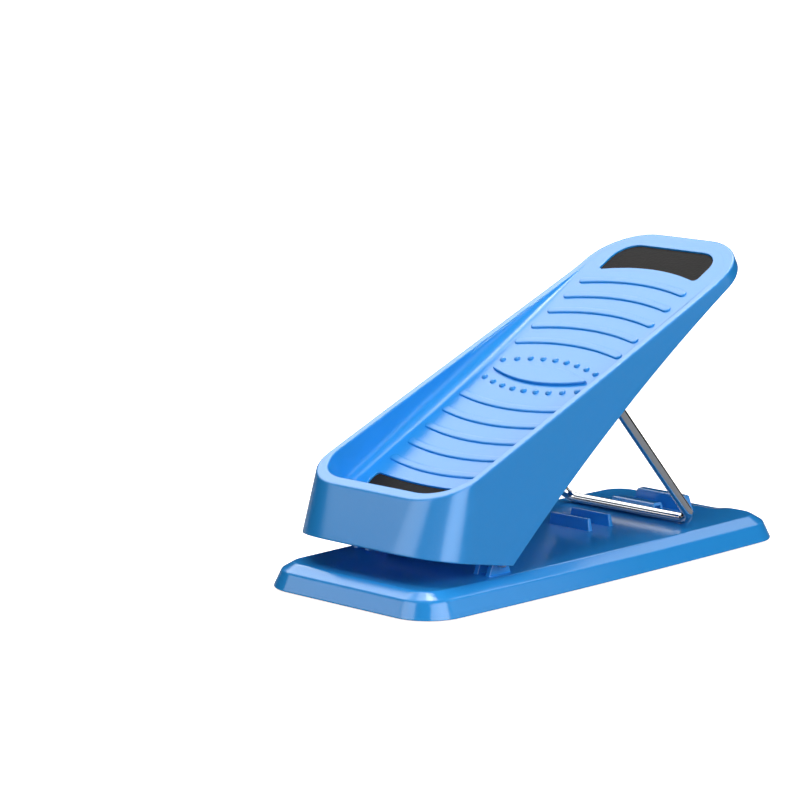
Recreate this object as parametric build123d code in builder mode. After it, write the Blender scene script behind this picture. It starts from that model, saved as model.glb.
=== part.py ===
from build123d import *
import os
from math import atan2, cos, hypot, radians, sin, tan

# Slant board for calf stretching: a foot plate hinged on a low base and propped by a wire bail,
# whose cross bar drops in front of one of four catches on the base's deck.
# Frame: millimetres, +X to the user's right, +Y from heel to toe, +Z up.
# The origin is on the ground, under the middle of the base.

# ---- fits and running gaps ----
pin_clearance = 0.05  # radial, between a steel wire or rod and its bearing
body_clearance = 0.4  # between the faces of a knuckle and its lugs
insert_clearance = 0.15  # around a foot or a pad in its recess
bar_clearance = 0.3  # between the bail's bar and the deck below it

# ---- base plate ----
base_length = 300.0
base_end_width = 130.0
base_side_bow = 2.8  # each long side swells by this at its middle
base_corner_radius = 24.0
base_height = 13.5  # from the lower edge to the deck
base_skirt_height = 9.5  # flared wall, below the bevelled band
base_skirt_inset = 4.4
base_deck_inset = 11.1
base_wall = 2.8
base_deck_thickness = 2.8
base_rib_thickness = 2.0
base_rib_depth = 3.5
base_cross_rib_pitch = 68.0
base_long_rib_x = 24.0
notch_width = 70.0  # finger dip in the deck's toe edge
notch_depth = 1.5
notch_reach = 21.0

# ---- rubber feet ----
foot_radius = 8.0
foot_thickness = 3.2
foot_protrusion = 1.0
foot_boss_wall = 2.0
foot_edge_distance = 24.0  # foot centre from the base's side and end

# ---- hinge ----
hinge_heel_distance = 70.0  # hinge axis from the base's heel end
hinge_height = 8.8  # hinge axis above the deck
hinge_rod_radius = 2.5
hinge_rod_chamfer = 0.5
knuckle_thickness = 5.0
knuckle_centre_x = 45.5
knuckle_radius = 5.0
knuckle_root_half_width = 10.0
lug_thickness = 3.0
lug_root_half_width = 9.0
rod_cap_radius = 4.5
rod_cap_thickness = 3.0
rod_cap_bore_depth = 2.0
rod_cap_chamfer = 0.6

# ---- foot plate, in its own directions: u from heel to toe along the sole, v square to the sole ----
sole_tilt = 27.63  # slope of the sole at the catch in use, degrees
sole_above_hinge = 32.2
hinge_u = -102.6
rim_flush_u = 114.6  # the rim meets the sole here, and is flush from here to the toe
rim_slope = 5.24  # the rim rises from the sole towards the heel, degrees
heel_rim_u = -127.9
heel_lean = 48.5  # lean of the heel wall from the sole's normal, degrees
skirt_flare = 4.0  # the side walls spread downwards, degrees
plate_heel_half_width = 57.6  # at the sole's level
plate_mid_half_width = 55.4
plate_toe_half_width = 51.5
plate_toe_u = 154.9
plate_toe_radius = 33.5
plate_heel_radius = 28.0  # at the rim
heel_radius_growth = 0.3  # per millimetre below the rim
keel_u = -102.4  # the lowest edge, where the heel's underside meets the long underside
keel_v = -36.1
heel_underside_slope = 38.3  # degrees to the sole
belly_u = 6.0  # a middle point of the curved lower edge
belly_v = -17.0
toe_thickness = 7.2
plate_wall = 3.0
sole_thickness = 4.0
recess_heel_half_width = 50.6  # at the sole's level
recess_mid_half_width = 49.3
recess_toe_half_width = 47.2
recess_heel_u = -119.6
recess_heel_radius = 23.0
recess_toe_radius = 29.0
recess_draft = 3.0  # degrees
recess_fillet = 6.0
plate_rib_thickness = 2.0
plate_rib_depth = 4.0
plate_rib_places = (-72.0, -42.0, -12.0, 48.0, 78.0, 108.0)  # the cross ribs under the sole, along u
plate_long_rib_x = 19.0
heel_pocket_half_width = 26.0

# ---- relief on the sole ----
relief_height = 1.0
relief_root = 0.8  # how deep the relief's shapes start inside the sole
rib_count = 5
rib_pitch = 15.6
rib_half_length = 37.2
rib_width = 4.6
rib_sagitta = 5.0
rib_toe_first_u = 45.0
rib_heel_first_u = -16.9
relief_centre_u = 12.9
lens_half_length = 35.0
lens_half_width = 7.0
lens_tip_radius = 1.5
dot_radius = 1.9
dot_count = 9
dot_half_span = 34.8
dot_row_middle = 14.9  # from the lens's long axis to a row's middle dot
dot_row_rise = 6.4  # the end dots come nearer to the axis by this

# ---- grip pads ----
pad_thickness = 1.2
pad_pocket_depth = 2.0
pad_tip_radius = 2.5
toe_pad_half_width = 36.5
toe_pad_toe_distance = 12.7  # from the plate's toe end
toe_pad_length = 27.7
toe_pad_arch = 6.3
toe_pad_radius = 14.0
heel_pad_half_width = 38.5
heel_pad_heel_distance = 8.6  # from the recess's heel wall
heel_pad_length = 22.7
heel_pad_arch = 3.2
heel_pad_radius = 18.0

# ---- wire bail and its sockets ----
bail_wire_radius = 3.0
bail_top_x = 44.8  # where a leg's line meets the stub's line
bail_foot_x = 48.7  # where a leg's line meets the bar's line
bail_foot_bend = 9.0
bail_elbow_bend = 3.8
bail_stub_end_x = 53.0
bail_stub_chamfer = 0.5
bail_catch_gap = 0.4  # between the bar and the catch behind it
bail_pivot_u = 17.0
bail_pivot_v = -10.0
socket_inner_x = 48.9
socket_radius = 5.5
hanger_root = 1.5  # how deep a knuckle or socket starts inside the sole
socket_root_half_width = 10.0
socket_end_gap = 0.4

# ---- catches on the deck, each placed by its middle's distance from the base's toe end ----
catch_root = 1.0  # how deep a catch or a lug starts inside the deck
wall_catch_toe_distances = (115.35, 97.75)  # the two plain walls
wall_catch_height = 7.0
wall_catch_root_thickness = 3.3
wall_catch_top_thickness = 2.4
wall_catch_root_half_length = 15.3
wall_catch_top_half_length = 14.0
arch_catch_toe_distance = 57.4
arch_catch_depth = 8.0
arch_catch_height = 7.5
arch_catch_wall = 1.8
arch_catch_root_half_length = 17.0
arch_catch_top_half_length = 15.5
block_catch_toe_distance = 34.0
block_catch_root_depth = 8.0
block_catch_top_depth = 6.0
block_catch_height = 8.5
block_catch_root_half_length = 20.0
block_catch_top_half_length = 17.5
catch_edge_radius = 0.5

# ---- places that follow ----
base_bottom_z = foot_protrusion
deck_z = base_bottom_z + base_height
heel_end_y = -base_length / 2
toe_end_y = base_length / 2
hinge_y = heel_end_y + hinge_heel_distance
hinge_z = deck_z + hinge_height
tilt = radians(sole_tilt)
sole_y = hinge_y - sole_above_hinge * sin(tilt) - hinge_u * cos(tilt)
sole_z = hinge_z + sole_above_hinge * cos(tilt) - hinge_u * sin(tilt)
rim_rise = tan(radians(rim_slope))
heel_rise = tan(radians(heel_underside_slope))
heel_rim_v = (rim_flush_u - heel_rim_u) * rim_rise
heel_tip_u = (keel_v + heel_rise * keel_u - rim_rise * rim_flush_u) / (heel_rise - rim_rise)
heel_tip_v = rim_rise * (rim_flush_u - heel_tip_u)
heel_pocket_top_v = heel_rim_v - 2 * plate_wall
plate_top_v = heel_rim_v + 2.0
plate_bottom_v = keel_v - 2.0
pivot_y = sole_y + bail_pivot_u * cos(tilt) - bail_pivot_v * sin(tilt)
pivot_z = sole_z + bail_pivot_u * sin(tilt) + bail_pivot_v * cos(tilt)
arch_catch_y = toe_end_y - arch_catch_toe_distance
bar_y = arch_catch_y - arch_catch_depth / 2 - bail_catch_gap - bail_wire_radius
bar_z = deck_z + bar_clearance + bail_wire_radius
leg_length = hypot(bar_y - pivot_y, bar_z - pivot_z)
leg_angle = atan2(bar_z - pivot_z, bar_y - pivot_y)
foot_x = base_end_width / 2 - foot_edge_distance
foot_y = base_length / 2 - foot_edge_distance
lug_inner_x = knuckle_centre_x - knuckle_thickness / 2 - body_clearance - lug_thickness
lug_outer_x = knuckle_centre_x + knuckle_thickness / 2 + body_clearance
rod_cap_inner_x = lug_outer_x + lug_thickness + body_clearance
hinge_rod_half_length = rod_cap_inner_x + rod_cap_bore_depth

# A plane on the sole: its x is the world's X, and its y runs along the sole to the toe.
sole = Plane(origin=(0, sole_y, sole_z), x_dir=(1, 0, 0), z_dir=(0, -sin(tilt), cos(tilt)))
# A plane across the plate's middle: its x is u, its y is v, and it faces +X.
side = Plane(origin=(0, sole_y, sole_z), x_dir=(0, cos(tilt), sin(tilt)), z_dir=(1, 0, 0))
# The same, square to the ground, through the hinge axis.
hinge_side = Plane(origin=(0, hinge_y, hinge_z), x_dir=(0, 1, 0), z_dir=(1, 0, 0))
# The bail lies in this plane: its y runs from the pivot axis down the legs to the bar.
bail_plane = Plane(
    origin=(0, pivot_y, pivot_z),
    x_dir=(1, 0, 0),
    z_dir=(0, -sin(leg_angle), cos(leg_angle)),
)


def base_outline(inset):
    """The base's plan outline, moved in by inset."""
    half_length = base_length / 2 - inset
    half_width = base_end_width / 2 - inset
    bowed = half_width + base_side_bow
    with BuildSketch(mode=Mode.PRIVATE) as outline:
        with BuildLine():
            Line((-half_width, -half_length), (half_width, -half_length))
            ThreePointArc((half_width, -half_length), (bowed, 0), (half_width, half_length))
            Line((half_width, half_length), (-half_width, half_length))
            ThreePointArc((-half_width, half_length), (-bowed, 0), (-half_width, -half_length))
        make_face()
        fillet(outline.vertices(), base_corner_radius - inset)
    return outline.sketch


def foot_outline(heel_u, toe_u, half_widths, heel_radius, toe_radius):
    """A plan outline on the sole, from three half widths: at the heel, the middle and the toe."""
    heel_x, middle_x, toe_x = half_widths
    middle_u = (heel_u + toe_u) / 2
    with BuildSketch(mode=Mode.PRIVATE) as outline:
        with BuildLine():
            Line((-heel_x, heel_u), (heel_x, heel_u))
            ThreePointArc((heel_x, heel_u), (middle_x, middle_u), (toe_x, toe_u))
            Line((toe_x, toe_u), (-toe_x, toe_u))
            ThreePointArc((-toe_x, toe_u), (-middle_x, middle_u), (-heel_x, heel_u))
        make_face()
        fillet(outline.vertices().group_by(Axis.Y)[0], heel_radius)
        fillet(outline.vertices().group_by(Axis.Y)[-1], toe_radius)
    return outline.sketch


def heel_u(level, inset=0.0):
    """Where the leaning heel wall stands at a level along v, or its inner face at an inset."""
    lean = radians(heel_lean)
    return heel_rim_u + (level - heel_rim_v) * tan(lean) + inset / cos(lean)


def heel_inner_u(level):
    """Where the heel wall's inner face stands at a level along v."""
    return heel_u(level, plate_wall)


def plate_outline(level, inset=0.0):
    """The foot plate's outer outline at a level along v, moved in by inset."""
    spread = -level * tan(radians(skirt_flare)) - inset
    return foot_outline(
        heel_u(level, inset),
        plate_toe_u - inset,
        (plate_heel_half_width + spread, plate_mid_half_width + spread, plate_toe_half_width + spread),
        plate_heel_radius + (heel_rim_v - level) * heel_radius_growth - inset,
        plate_toe_radius - inset,
    )


def recess_outline(level):
    """The outline of the recess that holds the foot, at a level along v."""
    spread = level * tan(radians(recess_draft))
    return foot_outline(
        recess_heel_u - spread,
        plate_toe_u,
        (recess_heel_half_width + spread, recess_mid_half_width + spread, recess_toe_half_width + spread),
        recess_heel_radius,
        recess_toe_radius,
    )


def pad_outline(half_width, far_u, near_u, arch, far_radius, inset=0.0):
    """A grip pad's outline: a concave edge towards the plate's middle, and a rounded far end."""
    way = 1 if far_u > near_u else -1  # the far end lies away from the plate's middle
    x = half_width - inset
    far = far_u - way * inset
    near = near_u + way * inset
    with BuildSketch(mode=Mode.PRIVATE) as outline:
        with BuildLine():
            ThreePointArc((-x, near), (0, near + way * arch), (x, near))
            Polyline((x, near), (x, far), (-x, far), (-x, near))
        make_face()
        ends = outline.vertices().group_by(Axis.Y)
        far_ends = ends[-1] if way > 0 else ends[0]
        near_ends = ends[0] if way > 0 else ends[-1]
        fillet(far_ends, far_radius - inset)
        fillet(near_ends, pad_tip_radius - inset)
    return outline.sketch


def toe_pad_outline(inset=0.0):
    """The outline of the pad under the ball of the foot."""
    far_u = plate_toe_u - toe_pad_toe_distance
    near_u = far_u - toe_pad_length
    return pad_outline(toe_pad_half_width, far_u, near_u, toe_pad_arch, toe_pad_radius, inset)


def heel_pad_outline(inset=0.0):
    """The outline of the pad under the heel."""
    far_u = recess_heel_u + heel_pad_heel_distance
    near_u = far_u + heel_pad_length
    return pad_outline(heel_pad_half_width, far_u, near_u, heel_pad_arch, heel_pad_radius, inset)


def rib_outline(middle_u, way):
    """A bowed rib with round ends, whose middle is at middle_u; way is 1 where it bows to the toe."""
    radius = (rib_half_length**2 + rib_sagitta**2) / (2 * rib_sagitta)
    end_x = rib_half_length / radius  # the sine of the half angle
    end_u = (radius - rib_sagitta) / radius
    half_width = rib_width / 2
    end_middle_u = middle_u - way * rib_sagitta
    with BuildSketch() as outline:
        with BuildLine():
            for edge in (half_width, -half_width):
                ThreePointArc(
                    (-rib_half_length - edge * end_x, end_middle_u + way * edge * end_u),
                    (0, middle_u + way * edge),
                    (rib_half_length + edge * end_x, end_middle_u + way * edge * end_u),
                )
            for side_way in (1, -1):
                ThreePointArc(
                    (
                        side_way * (rib_half_length + half_width * end_x),
                        end_middle_u + way * half_width * end_u,
                    ),
                    (
                        side_way * (rib_half_length + half_width * end_u),
                        end_middle_u - way * half_width * end_x,
                    ),
                    (
                        side_way * (rib_half_length - half_width * end_x),
                        end_middle_u - way * half_width * end_u,
                    ),
                )
        make_face()
    return outline.sketch


def hanger_outline(u, v, radius, root_half_width):
    """A rounded knuckle that hangs from the sole's underside round an axis at (u, v)."""
    with BuildSketch(mode=Mode.PRIVATE) as outline:
        with Locations((u, v)):
            Circle(radius)
        with BuildLine():
            Polyline(
                (u - root_half_width, hanger_root - sole_thickness),
                (u + root_half_width, hanger_root - sole_thickness),
                (u + radius, v),
                (u - radius, v),
                close=True,
            )
        make_face()
    return outline.sketch


# ---- base plate ----
with BuildPart() as base_hollow:
    with BuildSketch(Plane.XY.offset(base_bottom_z)):
        add(base_outline(base_wall))
    with BuildSketch(Plane.XY.offset(deck_z - base_deck_thickness)):
        add(base_outline(base_deck_inset - base_deck_thickness / 2))
    loft(ruled=True)
    with BuildSketch(Plane.XY.offset(deck_z - base_deck_thickness - base_rib_depth)):
        with GridLocations(0, base_cross_rib_pitch, 1, 4):
            Rectangle(base_end_width + 2 * base_side_bow, base_rib_thickness)
        with GridLocations(2 * base_long_rib_x, 0, 2, 1):
            Rectangle(base_rib_thickness, base_length)
    extrude(amount=base_height, mode=Mode.SUBTRACT)
    with BuildSketch(Plane.XY.offset(base_bottom_z)):
        with GridLocations(2 * foot_x, 2 * foot_y, 2, 2):
            Circle(foot_radius + insert_clearance + foot_boss_wall)
    extrude(amount=base_height, mode=Mode.SUBTRACT)

with BuildPart() as wall_catch:
    with BuildSketch(Plane.XY.offset(deck_z)):
        Rectangle(2 * wall_catch_root_half_length, wall_catch_root_thickness)
    with BuildSketch(Plane.XY.offset(deck_z + wall_catch_height)):
        Rectangle(2 * wall_catch_top_half_length, wall_catch_top_thickness)
    loft(ruled=True)
    extrude(wall_catch.faces().sort_by(Axis.Z)[0], amount=catch_root)
    fillet(wall_catch.edges().group_by(Axis.Z)[-1], catch_edge_radius)

with BuildPart() as arch_catch:
    with BuildSketch(Plane.XY.offset(deck_z)):
        Rectangle(2 * arch_catch_root_half_length, arch_catch_depth)
    with BuildSketch(Plane.XY.offset(deck_z + arch_catch_height)):
        Rectangle(2 * arch_catch_top_half_length, arch_catch_depth)
    loft(ruled=True)
    extrude(arch_catch.faces().sort_by(Axis.Z)[0], amount=catch_root)
    fillet(arch_catch.edges().filter_by(Axis.X).group_by(Axis.Z)[-1], arch_catch_wall)
    with BuildSketch(Plane.XY.offset(deck_z)):
        Rectangle(2 * arch_catch_root_half_length, arch_catch_depth - 2 * arch_catch_wall)
    extrude(amount=arch_catch_height - arch_catch_wall, mode=Mode.SUBTRACT)

with BuildPart() as block_catch:
    with BuildSketch(Plane.XY.offset(deck_z)):
        Rectangle(2 * block_catch_root_half_length, block_catch_root_depth)
    with BuildSketch(Plane.XY.offset(deck_z + block_catch_height)):
        Rectangle(2 * block_catch_top_half_length, block_catch_top_depth)
    loft(ruled=True)
    extrude(block_catch.faces().sort_by(Axis.Z)[0], amount=catch_root)
    fillet(block_catch.edges().group_by(Axis.Z)[-1], 2 * catch_edge_radius)

with BuildPart() as base_plate:
    with BuildSketch(Plane.XY.offset(base_bottom_z)):
        add(base_outline(0))
    with BuildSketch(Plane.XY.offset(base_bottom_z + base_skirt_height)):
        add(base_outline(base_skirt_inset))
    loft(ruled=True)
    with BuildSketch(Plane.XY.offset(base_bottom_z + base_skirt_height)):
        add(base_outline(base_skirt_inset))
    with BuildSketch(Plane.XY.offset(deck_z)):
        add(base_outline(base_deck_inset))
    loft(ruled=True)
    # The finger dip in the toe edge of the deck.
    with BuildSketch(Plane.XY.offset(deck_z - notch_depth)):
        with Locations((0, base_length / 2)):
            RectangleRounded(notch_width, 2 * notch_reach, notch_reach / 4)
    extrude(amount=2 * notch_depth, mode=Mode.SUBTRACT)
    add(base_hollow.part, mode=Mode.SUBTRACT)
    # The recesses for the rubber feet.
    with BuildSketch(Plane.XY.offset(base_bottom_z)):
        with GridLocations(2 * foot_x, 2 * foot_y, 2, 2):
            Circle(foot_radius + insert_clearance)
    extrude(amount=foot_thickness - foot_protrusion, mode=Mode.SUBTRACT)
    # Four lugs carry the hinge rod, two beside each knuckle of the foot plate.
    for inner_x in (lug_inner_x, lug_outer_x, -lug_inner_x - lug_thickness, -lug_outer_x - lug_thickness):
        with BuildSketch(hinge_side.offset(inner_x)):
            Circle(knuckle_radius)
            with BuildLine():
                Polyline(
                    (-lug_root_half_width, -hinge_height - catch_root),
                    (lug_root_half_width, -hinge_height - catch_root),
                    (knuckle_radius, 0),
                    (-knuckle_radius, 0),
                    close=True,
                )
            make_face()
        extrude(amount=lug_thickness)
    with BuildSketch(hinge_side):
        Circle(hinge_rod_radius + pin_clearance)
    extrude(amount=base_end_width / 2, both=True, mode=Mode.SUBTRACT)
    with Locations([(0, toe_end_y - distance) for distance in wall_catch_toe_distances]):
        add(wall_catch.part)
    with Locations((0, arch_catch_y)):
        add(arch_catch.part)
    with Locations((0, toe_end_y - block_catch_toe_distance)):
        add(block_catch.part)
base_plate.part.label = "base_plate"

# ---- rubber feet ----
feet = []
for end, y in (("heel", -foot_y), ("toe", foot_y)):
    for hand, x in (("left", -foot_x), ("right", foot_x)):
        with BuildPart() as foot:
            with BuildSketch():
                with Locations((x, y)):
                    Circle(foot_radius)
            extrude(amount=foot_thickness)
            fillet(foot.edges().group_by(Axis.Z)[0], foot_protrusion / 2)
        foot.part.label = f"foot_{end}_{hand}"
        feet.append(foot.part)

# ---- hinge rod and its caps ----
with BuildPart() as hinge_rod:
    with BuildSketch(hinge_side):
        Circle(hinge_rod_radius)
    extrude(amount=hinge_rod_half_length, both=True)
    chamfer(hinge_rod.edges().filter_by(GeomType.CIRCLE), hinge_rod_chamfer)
hinge_rod.part.label = "hinge_rod"

rod_caps = []
for hand, way in (("left", -1), ("right", 1)):
    with BuildPart() as rod_cap:
        with BuildSketch(hinge_side.offset(way * rod_cap_inner_x)):
            Circle(rod_cap_radius)
        extrude(amount=way * rod_cap_thickness)
        outer_face = rod_cap.faces().sort_by(Axis.X)[-1 if way > 0 else 0]
        chamfer(outer_face.edges(), rod_cap_chamfer)
        with BuildSketch(hinge_side.offset(way * rod_cap_inner_x)):
            Circle(hinge_rod_radius)
        extrude(amount=way * rod_cap_bore_depth, mode=Mode.SUBTRACT)
    rod_cap.part.label = f"rod_cap_{hand}"
    rod_caps.append(rod_cap.part)

# ---- foot plate ----
with BuildPart() as recess:
    with BuildSketch(sole):
        add(recess_outline(0))
    with BuildSketch(sole.offset(plate_top_v)):
        add(recess_outline(plate_top_v))
    loft(ruled=True)
    fillet(recess.faces().sort_by(Axis((0, 0, 0), sole.z_dir))[0].edges(), recess_fillet)

with BuildPart() as plate_hollow:
    with BuildSketch(sole.offset(-sole_thickness)):
        add(plate_outline(-sole_thickness, plate_wall))
    with BuildSketch(sole.offset(plate_bottom_v)):
        add(plate_outline(plate_bottom_v, plate_wall))
    loft(ruled=True)
    with BuildSketch(sole.offset(-sole_thickness - plate_rib_depth)):
        with Locations([(0, place) for place in plate_rib_places]):
            Rectangle(4 * plate_heel_half_width, plate_rib_thickness)
        with GridLocations(2 * plate_long_rib_x, 0, 2, 1):
            Rectangle(plate_rib_thickness, 4 * plate_toe_u)
    extrude(amount=plate_rib_depth, mode=Mode.SUBTRACT)
    # A pocket behind the recess keeps the heel's thick corner hollow.
    with BuildSketch(side):
        with BuildLine():
            Polyline(
                (heel_inner_u(heel_pocket_top_v), heel_pocket_top_v),
                (heel_inner_u(keel_v), keel_v),
                (recess_heel_u - plate_wall, keel_v),
                (recess_heel_u - plate_wall, heel_pocket_top_v),
                close=True,
            )
        make_face()
    extrude(amount=heel_pocket_half_width, both=True)

with BuildPart() as foot_plate:
    with BuildSketch(sole.offset(plate_top_v)):
        add(plate_outline(plate_top_v))
    with BuildSketch(sole.offset(plate_bottom_v)):
        add(plate_outline(plate_bottom_v))
    loft(ruled=True)
    # The side profile: rim line, toe, curved lower edge, keel and the heel's underside.
    with BuildSketch(side):
        with BuildLine():
            Polyline(
                (keel_u, keel_v),
                (heel_tip_u, heel_tip_v),
                (rim_flush_u, 0),
                (plate_toe_u + plate_wall, 0),
                (plate_toe_u + plate_wall, -toe_thickness),
            )
            ThreePointArc(
                (plate_toe_u + plate_wall, -toe_thickness), (belly_u, belly_v), (keel_u, keel_v)
            )
        make_face()
    extrude(amount=2 * plate_heel_half_width, both=True, mode=Mode.INTERSECT)
    add(plate_hollow.part, mode=Mode.SUBTRACT)
    add(recess.part, mode=Mode.SUBTRACT)
    # Curved ribs in front of the heel and behind the toes, bowed away from the middle.
    for first_u, way in ((rib_toe_first_u, 1), (rib_heel_first_u, -1)):
        for step in range(rib_count):
            rib_u = first_u + way * step * rib_pitch
            with BuildSketch(sole.offset(-relief_root)):
                add(rib_outline(rib_u, way))
            extrude(amount=relief_root + relief_height)
    # A raised lens under the arch, with a bowed row of dots on each side.
    with BuildSketch(sole.offset(-relief_root)):
        with BuildLine():
            for way in (1, -1):
                ThreePointArc(
                    (-lens_half_length, relief_centre_u),
                    (0, relief_centre_u + way * lens_half_width),
                    (lens_half_length, relief_centre_u),
                )
        make_face()
        fillet(vertices(), lens_tip_radius)
    extrude(amount=relief_root + relief_height)
    with BuildSketch(sole.offset(-relief_root)):
        for way in (1, -1):
            for step in range(dot_count):
                share = 2 * step / (dot_count - 1) - 1
                dot_u = relief_centre_u + way * (dot_row_middle - dot_row_rise * share**2)
                with Locations((share * dot_half_span, dot_u)):
                    Circle(dot_radius)
    extrude(amount=relief_root + relief_height)
    # The recesses for the grip pads.
    with BuildSketch(sole.offset(-pad_pocket_depth)):
        add(toe_pad_outline())
        add(heel_pad_outline())
    extrude(amount=pad_pocket_depth + relief_height, mode=Mode.SUBTRACT)
    # Two knuckles run on the hinge rod.
    for inner_x in (knuckle_centre_x - knuckle_thickness / 2, -knuckle_centre_x - knuckle_thickness / 2):
        with BuildSketch(side.offset(inner_x)):
            add(hanger_outline(hinge_u, -sole_above_hinge, knuckle_radius, knuckle_root_half_width))
        extrude(amount=knuckle_thickness)
    with BuildSketch(hinge_side):
        Circle(hinge_rod_radius + pin_clearance)
    extrude(amount=hinge_rod_half_length, both=True, mode=Mode.SUBTRACT)
    # Two blind sockets, joined to the side walls, hold the bail's stubs.
    socket_length = plate_mid_half_width - plate_wall / 2 - socket_inner_x
    for way in (1, -1):
        with BuildSketch(side.offset(way * socket_inner_x)):
            add(hanger_outline(bail_pivot_u, bail_pivot_v, socket_radius, socket_root_half_width))
        extrude(amount=way * socket_length)
    with BuildSketch(side):
        with Locations((bail_pivot_u, bail_pivot_v)):
            Circle(bail_wire_radius + pin_clearance)
    extrude(amount=bail_stub_end_x + socket_end_gap, both=True, mode=Mode.SUBTRACT)
foot_plate.part.label = "foot_plate"

# ---- grip pads ----
with BuildPart() as toe_pad:
    with BuildSketch(sole.offset(-pad_pocket_depth)):
        add(toe_pad_outline(insert_clearance))
    extrude(amount=pad_thickness)
toe_pad.part.label = "toe_pad"

with BuildPart() as heel_pad:
    with BuildSketch(sole.offset(-pad_pocket_depth)):
        add(heel_pad_outline(insert_clearance))
    extrude(amount=pad_thickness)
heel_pad.part.label = "heel_pad"

# ---- bail ----
with BuildPart() as bail:
    with BuildLine(bail_plane):
        FilletPolyline(
            (-bail_stub_end_x, 0),
            (-bail_top_x, 0),
            (-bail_foot_x, leg_length),
            (bail_foot_x, leg_length),
            (bail_top_x, 0),
            (bail_stub_end_x, 0),
            radius=[bail_elbow_bend, bail_foot_bend, bail_foot_bend, bail_elbow_bend],
        )
    with BuildSketch(Plane(origin=(-bail_stub_end_x, pivot_y, pivot_z), z_dir=(1, 0, 0))):
        Circle(bail_wire_radius)
    sweep()
    chamfer(bail.edges().group_by(Axis.X)[0], bail_stub_chamfer)
    chamfer(bail.edges().group_by(Axis.X)[-1], bail_stub_chamfer)
bail.part.label = "bail"

# ---- files ----
os.makedirs("parts", exist_ok=True)
pieces = [base_plate.part, *feet, hinge_rod.part, *rod_caps]
pieces += [foot_plate.part, toe_pad.part, heel_pad.part, bail.part]
for piece in pieces:
    export_step(piece, f"parts/{piece.label}.step")
print("hinge axis y, z:", round(hinge_y, 3), round(hinge_z, 3))
print("bail pivot y, z:", round(pivot_y, 3), round(pivot_z, 3))
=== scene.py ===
"""Looks of the slant board: meshes, finishes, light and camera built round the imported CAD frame.

Sizes are in millimetres and become metres as each mesh is made. Two sets of directions are used:
the ground's (x, y, z), and the sole's (x, u, v), where u runs along the sole from heel to toe and
v stands square to it.
"""

from __future__ import annotations
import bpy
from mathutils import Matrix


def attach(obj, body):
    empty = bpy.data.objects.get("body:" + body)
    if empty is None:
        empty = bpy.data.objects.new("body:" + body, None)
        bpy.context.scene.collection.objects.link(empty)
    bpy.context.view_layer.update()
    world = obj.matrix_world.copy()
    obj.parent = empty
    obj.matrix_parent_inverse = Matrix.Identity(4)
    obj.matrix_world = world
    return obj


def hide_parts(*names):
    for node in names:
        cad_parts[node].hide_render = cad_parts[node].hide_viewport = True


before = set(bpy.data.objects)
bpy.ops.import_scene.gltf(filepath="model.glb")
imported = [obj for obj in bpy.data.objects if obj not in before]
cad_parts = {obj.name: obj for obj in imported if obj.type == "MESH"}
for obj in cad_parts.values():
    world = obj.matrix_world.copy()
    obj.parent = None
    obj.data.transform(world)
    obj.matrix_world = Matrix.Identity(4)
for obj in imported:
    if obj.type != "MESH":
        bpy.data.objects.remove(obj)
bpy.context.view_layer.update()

import logging
import math
from dataclasses import dataclass, field
from enum import Enum
from typing import Callable, Iterable, Sequence

import bmesh
import bpy
from mathutils import Vector
from mathutils.bvhtree import BVHTree
from mathutils.geometry import tessellate_polygon

log = logging.getLogger("slant_board")

MM = 0.001
Pair = tuple[float, float]
Triple = tuple[float, float, float]
Ring = list[Vector]
Station = tuple[Vector, Vector]
Place = Callable[[Vector], Vector]
Input = tuple[str, str, object]
Socket = bpy.types.NodeSocket

SIDES = (("left", -1), ("right", 1))
ENDS = (("heel", -1), ("toe", 1))
HINGE_AXIS: Pair = (-80.0, 23.3)
FOOT_CENTRE: Pair = (41.0, 126.0)
UP = Vector((0.0, 0.0, 1.0))


class Body(Enum):
    """The moving bodies that a piece can ride on."""

    BASE = "base"
    TRAY = "tray"
    BAIL = "bail"


class Slot(Enum):
    """The record's material slots."""

    BASE_PLASTIC = "base_plastic"
    PLATE_PLASTIC = "plate_plastic"
    GRIP_PAD = "grip_pad"
    FOOT_RUBBER = "foot_rubber"
    CHROME_WIRE = "chrome_wire"
    STEEL = "steel"


# ---------------------------------------------------------------- node trees


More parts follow.
